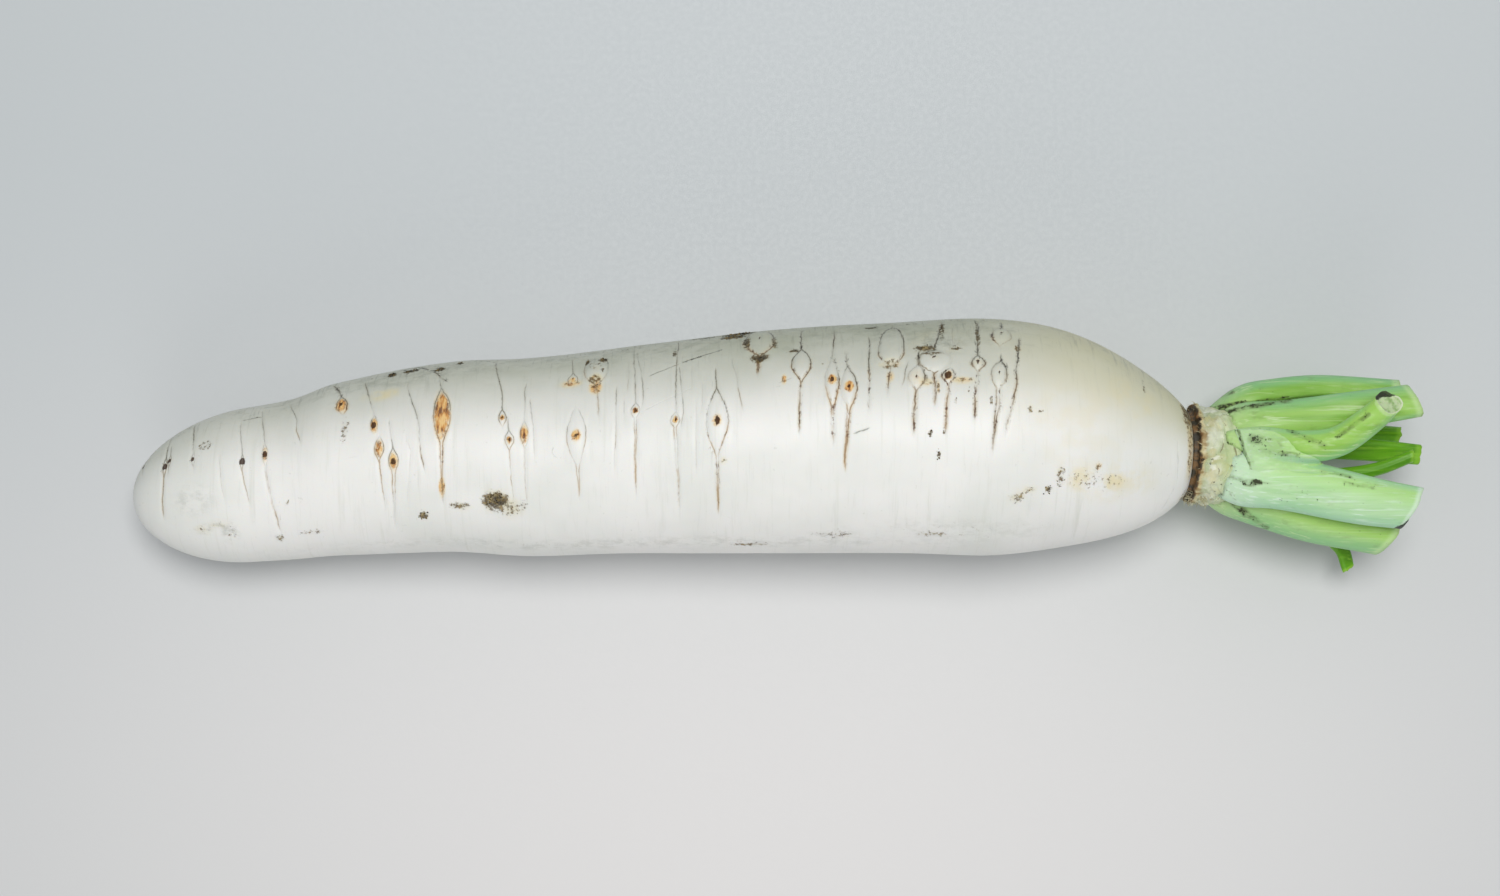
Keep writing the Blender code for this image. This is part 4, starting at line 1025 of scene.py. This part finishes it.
def stalk_skin(name, body, shade, bloom_and_sheen, pale, lime):
    """Fleshy green skin with long streaks, a waxy bluish bloom on its back laid on its sideways faces as a
    painted rim sheen, pale streaks gathered in a band that is partly a painted highlight, and a wet cut end.
    """
    skin = Finish(name)
    along, across, back = skin.attribute("stalk_place")
    soil, cut, rot = skin.attribute("stalk_marks")
    paler, deeper, more_lime = skin.attribute("stalk_tone")
    long_streaks = skin.noise(0.0011, (22, 1, 1), 3)
    blotches = skin.noise(0.006, (2.5, 1, 1), 3)
    streaked = skin.plus(skin.times(long_streaks, 0.6), skin.times(blotches, 0.4))
    skin.colour = skin.over(body, shade, skin.rise(streaked, 0.4, 0.62))
    skin.coat(shade, deeper, 0.8)
    skin.coat(pale, paler, 0.8)
    skin.coat(lime, more_lime)
    # Faces turned towards +Y or -Y, the stalk's edges as seen from above, get the bluish bloom colour: the
    # wax bloom, partly a painted rim sheen.
    facing = skin.node("ShaderNodeSeparateXYZ")
    skin.give(facing.inputs[0], skin.node("ShaderNodeTexCoord").outputs["Normal"])
    rim_sheen = skin.rise(skin.number("ABSOLUTE", facing.outputs[1]), 0.35, 0.95)
    one_side = skin.times(skin.rise(across, 0.0, 0.8), skin.rise(along, 0.1, 0.5), 0.75)
    skin.coat(lime, one_side)
    skin.coat(bloom_and_sheen, rim_sheen, skin.rise(back, -0.4, 0.3), 0.85)
    # Pale thin streaks, stronger in a band a little to one side of the stalk's middle: the streaks are real,
    # the band is partly a painted highlight.
    thin_streaks = skin.rise(skin.noise(0.0005, (40, 1, 1), 3, shift=2.0), 0.53, 0.68)
    streak_and_highlight_band = skin.rise(skin.number("ABSOLUTE", skin.plus(across, 0.3)), 0.45, 0.0, 0.35, 0.85)
    skin.coat(pale, thin_streaks, streak_and_highlight_band)
    at_base = skin.rest(skin.rise(along, 0.08, 0.42))
    paled = skin.rise(deeper, 0.0, 1.0, 0.6, 0.2)
    skin.coat(pale, at_base, paled)
    smear = skin.rise(skin.noise(0.0021, (2, 1, 1), 4, 0.65, 4.0), 0.58, 0.75)
    skin.coat((120, 138, 84), smear, skin.rise(at_base, 0, 1, 0.25, 0.7))
    skin.coat(pale, skin.rise(along, 0.965, 0.985), 0.6)
    specks = skin.noise(0.0005, detail=4, roughness=0.62, shift=8.0)
    gaps = skin.rise(skin.noise(0.0022, detail=4, shift=3.0), 0.36, 0.66, 0.1, 0.25)
    crowd = skin.rise(skin.noise(0.005, shift=1.0), 0.5, 0.66, 0.0, 0.05)
    dirty = skin.rise(skin.plus(specks, skin.plus(crowd, skin.times(soil, gaps))), 0.7, 0.78)
    # The soil attribute, partly painted shade where stalks meet, darkens the skin to a green-brown smear and
    # dark specks.
    smear = skin.times(skin.rise(soil, 0.2, 1.0), skin.rise(gaps, 0.1, 0.2, 0.2, 0.75))
    skin.coat((86, 100, 50), smear)
    skin.coat((44, 46, 26), dirty, 0.88)
    centre = skin.number("SQRT", skin.plus(skin.times(across, across), skin.times(back, back)))
    mealy = skin.rise(skin.noise(0.0009, detail=4), 0.4, 0.65)
    pith = skin.over((196, 214, 170), (150, 182, 118), mealy)
    rim = skin.rise(centre, 0.86, 0.95)
    pith = skin.over(pith, (214, 228, 190), rim)
    skin.coat(pith, skin.rise(cut, 0.2, 0.7))
    decayed = skin.plus(rot, skin.centred(skin.noise(0.0014, detail=4), 0.9))
    decayed = skin.rise(decayed, 0.42, 0.6)
    skin.coat((22, 18, 14), decayed, 0.95)
    height = skin.plus(skin.times(long_streaks, 0.5), skin.times(dirty, 0.6))
    roughness = skin.rise(skin.plus(dirty, skin.times(blotches, 0.4)), 0.0, 1.0, 0.38, 0.75)
    return skin.finish(
        roughness, height, 0.00025,
        subsurface_weight=0.15, subsurface_radius=(0.002, 0.004, 0.001), subsurface_scale=1.0, ior=1.42,
    )


STALK_COLOURS = {  # the material's name, then body, shade, bloom with painted rim sheen, pale streaks and lime side
    "leaf_stalk": (
        "leaf stalk skin", (164, 208, 108), (132, 182, 72), (140, 202, 142), (198, 226, 166), (160, 208, 96)
    ),
    "leaf_stalk_pale": (
        "pale leaf stalk skin", (190, 226, 176), (170, 214, 156), (168, 218, 180), (218, 240, 222),
        (178, 222, 134),
    ),
    "leaf_stalk_young": (
        "young leaf stalk skin", (106, 170, 18), (80, 142, 10), (112, 176, 36), (140, 194, 56), (98, 162, 16)
    ),
}
STALK_SKINS = {slot: stalk_skin(*values) for slot, values in STALK_COLOURS.items()}
stalks = []
for stalk in STALKS:
    piece = make_stalk(stalk)
    piece.data.materials.append(STALK_SKINS[stalk.skin])
    stalks.append(piece)

# Soil gathers where a stalk meets its neighbours, near the crown, partly real and partly painted shade in the
# gaps between them, and cut ends rot from one edge.
# A smear's ends are (past the shoulder, towards +Y), in mm.
Smear = namedtuple("Smear", "stalk start end half_width soil")
# Smears are soil. Those along the gaps between stalks and along the sheath's left end are partly painted
# shade.
SMEARS = (
    Smear("arched_back", (11.5, 15.4), (19, 17.2), 0.9, 1.0),
    Smear("arched_back", (19, 17.0), (33, 19.4), 0.7, 0.9),
    Smear("arched_back", (6.8, 14.9), (10, 18.2), 1.1, 0.95),
    Smear("arched_back", (10, 18.2), (16, 20.6), 0.8, 0.8),
    Smear("broad_upper", (12.5, 13.6), (19, 15.6), 0.8, 0.95),
    Smear("broad_upper", (19, 15.6), (33, 18.4), 0.8, 1.0),
    Smear("broad_upper", (10, 14.3), (15.8, 4.5), 0.8, 0.9),
    Smear("broad_upper", (20, 8.4), (26, 6.7), 0.8, 0.7),
    Smear("low_front", (14.8, -14.0), (20, -18.4), 1.3, 1.0),
    Smear("low_front", (20, -18.4), (27, -22.4), 1.0, 0.9),
    Smear("broad_front", (17, -8.4), (21.2, -8.0), 0.9, 1.6),
    Smear("broad_front", (13.6, -6.8), (16.5, -8.1), 0.8, 0.95),
    Smear("broad_front", (39.8, -3.3), (50, -5.1), 0.7, 0.72),
    Smear("broad_front", (47, -6.9), (57, -8.2), 0.8, 0.72),
    Smear("broad_front", (22, -8.2), (37, -10.4), 0.5, 0.62),
    Smear("curved_front", (44, 7.2), (53, 14.6), 0.8, 0.8),
    Smear("curved_front", (30, 8.6), (40, 4.4), 1.2, 0.6),
    Smear("inner_thin", (60, 0.4), (73, 5.4), 0.7, 0.9),
    Smear("inner_right", (50, 4.5), (54, 4.5), 0.8, 0.9),
    Smear("inner_upper", (55, 11), (64, 11), 0.9, 0.8),
    Smear("sheath", (21.6, 2.1), (32, 1.0), 1.0, 0.85),
    Smear("sheath", (19, 5.5), (26, 3.4), 2.2, 0.66),
    Smear("sheath", (15.0, 7.8), (17.2, -0.3), 0.6, 0.95),
    Smear("sheath", (17.2, -0.3), (18.4, -4.8), 0.7, 1.0),
)


def smeared(name, place):
    """How much soil the smears leave at a point of a stalk, given in metres. Along gaps between stalks and
    the sheath's left end it is partly painted shade.
    """
    away = np.array(place) / MM - np.array([ROOT_LENGTH, *axis_of_root(ROOT_LENGTH)]) - frame_shift
    spot = np.array([away[0], away[1] - CROWN_AXIS[1] * away[0]])
    most = 0.0
    for smear in SMEARS:
        if smear.stalk == name:
            start, end = np.array(smear.start), np.array(smear.end)
            run = end - start
            share = min(1.0, max(0.0, (spot - start) @ run / (run @ run)))
            off = np.linalg.norm(spot - start - run * share) / smear.half_width
            most = max(most, smear.soil * (1 - float(smooth_step(off, 0.3, 1.5))))
    return most


ROT_SIDE = {"curved_front": (0.75, -0.6)}  # the edge that rots, across the stalk and towards its back
ROT_START = 0.9
JUNCTION_END = 0.62  # the share of a stalk's length along which soil and painted shade gather near its neighbours
JUNCTION_REACH = 0.0012  # how close a neighbour has to be, in metres
trees = []
for piece in stalks + [crown]:
    mesh = piece.data
    trees.append(BVHTree.FromPolygons([v.co for v in mesh.vertices], [p.vertices[:] for p in mesh.polygons]))
for number, (stalk, piece) in enumerate(zip(STALKS, stalks)):
    mesh = piece.data
    marks = mesh.attributes["stalk_marks"].data
    places = mesh.attributes["stalk_place"].data
    for vertex, mark, place in zip(mesh.vertices, marks, places):
        t, across, back = place.vector
        if t < JUNCTION_END:
            gap = JUNCTION_REACH
            for other, tree in enumerate(trees):
                if other != number:
                    found = tree.find_nearest(vertex.co, JUNCTION_REACH)
                    if found[3] is not None:
                        gap = min(gap, found[3])
            # Closeness to a neighbour becomes soil: partly real soil, partly painted shade in the gap.
            near = 1 - gap / JUNCTION_REACH
            mark.vector[0] = near * (1 - t / JUNCTION_END)
        if back > -0.3:
            mark.vector[0] = max(mark.vector[0], smeared(stalk.name, vertex.co))
        if stalk.rot and t > ROT_START:
            sideways, outward = ROT_SIDE.get(stalk.name, (-0.9, 0.3))
            edge = max(0.0, across * sideways + back * outward - 0.25)
            mark.vector[2] = stalk.rot * edge * 1.4 * ((t - ROT_START) / (1 - ROT_START)) ** 2
    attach(piece, "root")
    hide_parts("leaf_stalk_" + stalk.name)

# The sheath
# The broad front stalk's base spreads to one side as a thin pale sheath, which is how leaf bases wrap a
# stem. It lies over its neighbours' feet, with a torn upper margin and soil at its edges, partly painted
# shade.

SHEATH_MARGIN = ((0.0, 13.9, 8.2), (0.25, 21.4, 8.7), (0.4, 25.8, 7.9), (0.53, 29.2, 5.5), (0.66, 32.7, 2.2),
                 (0.8, 37.5, 0.6), (1.0, 44.0, -2.6))
SHEATH_FOOT = ((0.0, 17.4, -9.0), (0.3, 24.0, -8.0), (0.7, 36.0, -6.4), (1.0, 48.0, -5.4))
SHEATH_TONE = (0.0, 0.7, 0.4)
SHEATH_LENGTHWAYS, SHEATH_ACROSS = 90, 44
SHEATH_THICKNESS = 0.9
SHEATH_RELAX = 14  # how often its height is evened out
ABOVE_ALL = 120.0


def make_sheath():
    """A thin skin laid over the stalks' feet, from the broad front stalk's back to a torn margin."""
    end = np.array([ROOT_LENGTH, *axis_of_root(ROOT_LENGTH)]) + frame_shift
    shape = (SHEATH_LENGTHWAYS, SHEATH_ACROSS)
    spots, under, off = np.zeros(shape + (2,)), np.zeros(shape), np.zeros(shape)
    for i in range(shape[0]):
        u = i / (shape[0] - 1)
        edge, foot = (
            np.array([smooth_value(line, u, column) for column in (1, 2)])
            for line in (SHEATH_MARGIN, SHEATH_FOOT)
        )
        edge[1] += 0.45 * noise.noise((9 * u, 3.0, 0.0)) + 0.3 * noise.noise((31 * u, 5.0, 0.0))
        for j in range(shape[1]):
            v = j / (shape[1] - 1)
            x, y = foot + (edge - foot) * v
            x += (1 - u) ** 6 * (2.2 * math.sin(math.pi * v) + 0.5 * noise.noise((6 * v, 1.0, 2.0)))
            spots[i, j] = end[0] + x, end[1] + y + CROWN_AXIS[1] * x
            start = Vector((*spots[i, j], ABOVE_ALL)) * MM
            hits = [tree.ray_cast(start, Vector((0, 0, -1)))[0] for tree in trees]
            under[i, j] = max((hit.z / MM for hit in hits if hit is not None), default=under[i, j - 1])
            margin = min(1 - v, u * 3.0, (1 - u) * 2.5)
            off[i, j] = 0.5 + 0.55 * smooth_step(margin, 0.0, 0.2)
            off[i, j] -= 1.3 * (1 - smooth_step(v, 0.0, 0.22)) + 0.9 * smooth_step(u, 0.72, 1.0)
    height = under + off
    for _ in range(SHEATH_RELAX):
        padded = np.pad(height, 1, mode="edge")
        mean = (padded[2:, 1:-1] + padded[:-2, 1:-1] + padded[1:-1, 2:] + padded[1:-1, :-2]) / 4
        height = np.maximum(mean, under + np.minimum(off, 0.3))
    sunk = smooth_step(np.linspace(0, 1, shape[1]), 0.0, 0.5)
    lowest = under - SHEATH_THICKNESS
    height = lowest + (height - lowest) * sunk
    for i in range(shape[0]):
        for j in range(shape[1]):
            spot = (spots[i, j, 0] / 7, spots[i, j, 1] / 2.2, 1.0)
            height[i, j] += 0.22 * noise.noise(spot) + 0.1 * noise.noise((spot[0] * 4, spot[1] * 3, 7.0))
    top = np.dstack([spots, height])
    bottom = np.dstack([spots, height - SHEATH_THICKNESS])
    strip = np.concatenate([top, bottom[:, ::-1]], axis=1)
    middle_start, middle_end = strip[0].mean(axis=0), strip[-1].mean(axis=0)
    around = strip.shape[1]
    across = np.concatenate([np.linspace(0, 1, shape[1]), np.linspace(1, 0, shape[1])])
    lengthways = np.linspace(0, 1, shape[0])[:, None] * np.ones(around)
    across = np.tile(across, (shape[0], 1))
    place = np.dstack([0.17 + 0.49 * lengthways, 0.9 * across - 0.1, np.full(across.shape, 0.8)])
    # Darker along the margin and the left end: soil, partly painted shade where the edge lies over the
    # stalks.
    soil = 0.3 * np.maximum(smooth_step(across, 0.93, 1.0), 1 - smooth_step(lengthways, 0.0, 0.05))
    ridge = np.exp(-(((across - 0.62) / 0.13) ** 2)) * smooth_step(lengthways, 0.12, 0.3)
    soil = np.maximum(soil, 0.4 * ridge * (1 - smooth_step(lengthways, 0.45, 0.62)))
    smears = [[smeared("sheath", strip[i, j] * MM) for j in range(around)] for i in range(shape[0])]
    soil = np.maximum(soil, smears)
    marks = np.dstack([soil, np.zeros_like(soil), np.zeros_like(soil)])
    tone = np.tile(SHEATH_TONE, (*soil.shape, 1))
    attributes = {"stalk_place": place, "stalk_marks": marks, "stalk_tone": tone}
    return closed_tube("stalk_sheath", strip * MM, middle_start * MM, middle_end * MM, attributes)


sheath = make_sheath()
sheath.data.materials.append(STALK_SKINS["leaf_stalk_pale"])
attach(sheath, "root")
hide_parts("leaf_stalk_broad_front")

# Soil crumbs and root fibres
# Crumbs of the bed's loamy soil still cling where the radish was wiped by hand. Short fibres are left of
# the side roots in the scars, and the crown's torn lip and underside are frayed.

PER_SQUARE_MM = 1e6
Growth = namedtuple(
    "Growth", "name surface shape attribute part least density size material seed lean slot node"
)


def grown_on(growth):
    """Scatters copies of a small piece over a surface where one number of an attribute passes `least`.
    They lean from the surface by up to `lean` radians, and their sizes are between the two given."""
    smallest, largest = growth.size
    inputs = {
        "Surface": ("Object", growth.surface),
        "Piece": ("Object", growth.shape),
        "Attribute": ("String", growth.attribute),
        "Part": ("Vector", growth.part),
        "Least": ("Float", growth.least),
        "Density": ("Float", growth.density * PER_SQUARE_MM),
        "Smallest": ("Float", smallest),
        "Largest": ("Float", largest),
        "Seed": ("Int", growth.seed),
        "Lean": ("Float", growth.lean),
    }
    tree = bpy.data.node_groups.new(growth.name, "GeometryNodeTree")
    face = tree.interface
    face.new_socket("Geometry", in_out="OUTPUT", socket_type="NodeSocketGeometry")
    sockets = {
        key: face.new_socket(key, in_out="INPUT", socket_type="NodeSocket" + kind).identifier
        for key, (kind, _) in inputs.items()
    }

    def node(kind, feeds, **settings):
        made = tree.nodes.new(kind)
        for key, value in settings.items():
            setattr(made, key, value)
        for key, value in feeds.items():
            if isinstance(value, bpy.types.NodeSocket):
                tree.links.new(value, made.inputs[key])
            else:
                made.inputs[key].default_value = value
        return made.outputs

    given = node("NodeGroupInput", {})
    seed, lean = given["Seed"], given["Lean"]
    surface = node("GeometryNodeObjectInfo", {"Object": given["Surface"]})
    shape = node("GeometryNodeObjectInfo", {"Object": given["Piece"]})
    read = node("GeometryNodeInputNamedAttribute", {"Name": given["Attribute"]}, data_type="FLOAT_VECTOR")
    chosen = node("ShaderNodeVectorMath", {0: read["Attribute"], 1: given["Part"]}, operation="DOT_PRODUCT")
    crowd = {"Value": chosen["Value"], "From Min": given["Least"], "To Max": given["Density"]}
    crowd = node("ShaderNodeMapRange", crowd)
    points = {"Mesh": surface["Geometry"], "Density": crowd["Result"], "Seed": seed}
    points = node("GeometryNodeDistributePointsOnFaces", points)
    back = node("ShaderNodeMath", {0: lean, 1: -1.0}, operation="MULTIPLY")
    tilt = node("FunctionNodeRandomValue", {0: back[0], 1: lean, "Seed": seed}, data_type="FLOAT_VECTOR")
    turned = {"Rotation": points["Rotation"], "Rotate By": tilt[0]}
    turned = node("FunctionNodeRotateRotation", turned, rotation_space="LOCAL")
    size = {2: given["Smallest"], 3: given["Largest"], "Seed": seed}
    size = node("FunctionNodeRandomValue", size, data_type="FLOAT")
    placed = {
        "Points": points["Points"], "Instance": shape["Geometry"], "Rotation": turned[0], "Scale": size[1]
    }
    placed = node("GeometryNodeInstanceOnPoints", placed)
    real = node("GeometryNodeRealizeInstances", {0: placed[0]})
    coated = node("GeometryNodeSetMaterial", {"Geometry": real[0], "Material": growth.material})
    node("NodeGroupOutput", {0: coated[0]})

    made = linked(growth.name, bpy.data.meshes.new(growth.name))
    scatter = made.modifiers.new("scatter", "NODES")
    scatter.node_group = tree
    for key, (_, value) in inputs.items():
        scatter[sockets[key]] = value
    graph = bpy.context.evaluated_depsgraph_get()
    plain = bpy.data.meshes.new_from_object(made.evaluated_get(graph))
    made.modifiers.clear()
    made.data = plain
    plain.name = growth.name
    return made


def shape_from(maker, name):
    """An object of what has been built in a bmesh."""
    mesh = bpy.data.meshes.new(name)
    maker.to_mesh(mesh)
    maker.free()
    return linked(name, mesh)


def crumb_shape():
    """One angular crumb, 1 mm across, with its middle a little above the skin."""
    maker = bmesh.new()
    bmesh.ops.create_icosphere(maker, subdivisions=1, radius=0.5 * MM)
    draw = random.Random(3)
    for vertex in maker.verts:
        vertex.co *= draw.uniform(0.65, 1.2)
        vertex.co.z = vertex.co.z * 0.75 + 0.15 * MM
    return shape_from(maker, "crumb shape")


def fibre_shape():
    """One bent three-sided fibre, 1 mm long, thinning to a point."""
    maker = bmesh.new()
    loops = []
    for step in range(5):
        t = step / 5
        middle = Vector((0.35 * t * t, 0.12 * math.sin(3 * t), t - 0.08)) * MM
        loops.append(
            [
                maker.verts.new(middle + Vector((math.cos(a), math.sin(a), 0)) * 0.07 * MM * (1 - 0.8 * t))
                for a in (0, 2.1, 4.2)
            ]
        )
    tip = maker.verts.new(Vector((0.38, 0.02, 0.98)) * MM)
    for here, there in zip(loops, loops[1:]):
        for k in range(3):
            maker.faces.new((here[k - 1], here[k], there[k], there[k - 1]))
    for k in range(3):
        maker.faces.new((loops[-1][k - 1], loops[-1][k], tip))
    maker.faces.new(loops[0][::-1])
    bmesh.ops.recalc_face_normals(maker, faces=maker.faces)
    return shape_from(maker, "fibre shape")


def earth(name, dark, light, size):
    """Crumbly soil or dry fibre: two tones in grains of a size in metres."""
    ground = Finish(name)
    grain = ground.noise(size, detail=4)
    ground.colour = ground.over(dark, light, ground.rise(grain, 0.4, 0.62))
    return ground.finish(ground.rise(grain, 0.3, 0.7, 0.8, 0.95), grain, 0.0002)


crumb, fibre = crumb_shape(), fibre_shape()
loam = earth("loam crumbs", (38, 32, 22), (132, 114, 72), 0.0007)
bristle = earth("dry root fibre", (40, 30, 20), (104, 74, 44), 0.0006)
fray = earth("frayed crown fibre", (168, 158, 116), (222, 220, 188), 0.0008)
GROWTHS = (
    Growth("soil_crumbs", root, crumb, "eyes_and_soil", (0, 0, 1), 0.78, 4.0, (0.2, 0.8), loam, 4, 1.2,
           "root_skin", "taproot"),
    Growth("root_fibres", root, fibre, "eyes_and_soil", (0, 1, 0), 0.45, 2.4, (0.35, 1.0), bristle, 5, 0.9,
           "root_skin", "taproot"),
    Growth("crown_fray", crown, fibre, "crown_torn", (1, 0, 0), 0.1, 1.5, (0.8, 2.0), fray, 6, 1.2,
           "crown_cork", "crown"),
)
for growth in GROWTHS:
    grown = grown_on(growth)
    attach(grown, "root")
    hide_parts(growth.node)
for shape in (crumb, fibre):
    bpy.data.objects.remove(shape)

# The stage
# A pale table top under soft light from overhead, its colour darker towards +Y and the sides as painted
# light falloff, and a camera that looks straight down on it.

CAMERA_HEIGHT = 0.8
MIDDLE_HEIGHT = 0.036
CAMERA_ALONG, CAMERA_SIDEWAYS = 199.7, -1.6  # what it looks at, in the root's own millimetres
TABLE_HALF = 3.0
TABLE_TOP = -0.00005
table = bpy.data.meshes.new("table")
corners = [(x * TABLE_HALF, y * TABLE_HALF) for x, y in ((-1, -1), (1, -1), (1, 1), (-1, 1))]
table.from_pydata([(x, y, TABLE_TOP) for x, y in corners], [], [(0, 1, 2, 3)])
floor = linked("table", table)
surface = Finish("pale table top")
tone = surface.node("ShaderNodeSeparateXYZ")
surface.give(tone.inputs[0], surface.place)
# The table is drawn darker and bluer towards +Y and darker towards its left and right sides: painted light
# falloff.
surface.colour = surface.over((224, 223, 223), (198, 204, 207), surface.rise(tone.outputs[1], -0.13, 0.11))
painted_falloff_sides = surface.rise(surface.number("ABSOLUTE", tone.outputs[0]), 0.0, 0.6)
surface.coat((190, 196, 198), painted_falloff_sides)
grain = surface.noise(0.0008, detail=2)
floor.data.materials.append(
    surface.finish(surface.rise(grain, 0.3, 0.7, 0.5, 0.6), grain, 0.00002)
)

world = bpy.data.worlds.new("soft room")
world.use_nodes = True
world.node_tree.nodes["Background"].inputs["Color"].default_value = (0.96, 0.98, 1.0, 1)
world.node_tree.nodes["Background"].inputs["Strength"].default_value = 0.38
bpy.context.scene.world = world


def soft_light(name, place, size, power, colour):
    """A soft box at a place, turned to face the root."""
    lamp = bpy.data.lights.new(name, "AREA")
    lamp.shape = "DISK"
    lamp.size = size
    lamp.energy = power
    lamp.color = colour
    light = linked(name, lamp)
    light.location = place
    light.rotation_euler = (Vector((0, 0, 0)) - Vector(place)).to_track_quat("-Z", "Y").to_euler()


soft_light("overhead", (0.08, 0.31, 1.55), 0.65, 14.0, (1.0, 0.985, 0.965))
soft_light("low fill", (-0.1, -1.6, 0.9), 1.2, 5.2, (1.0, 0.98, 0.95))

camera = linked("camera", bpy.data.cameras.new("camera"))
camera.data.sensor_width = 36
camera.data.lens = 60
camera.data.clip_start = 0.01
camera.location = (
    (CAMERA_ALONG + frame_shift[0]) * MM,
    (CAMERA_SIDEWAYS + frame_shift[1]) * MM,
    MIDDLE_HEIGHT + CAMERA_HEIGHT,
)
bpy.context.scene.camera = camera
bpy.context.scene.view_settings.view_transform = "Standard"
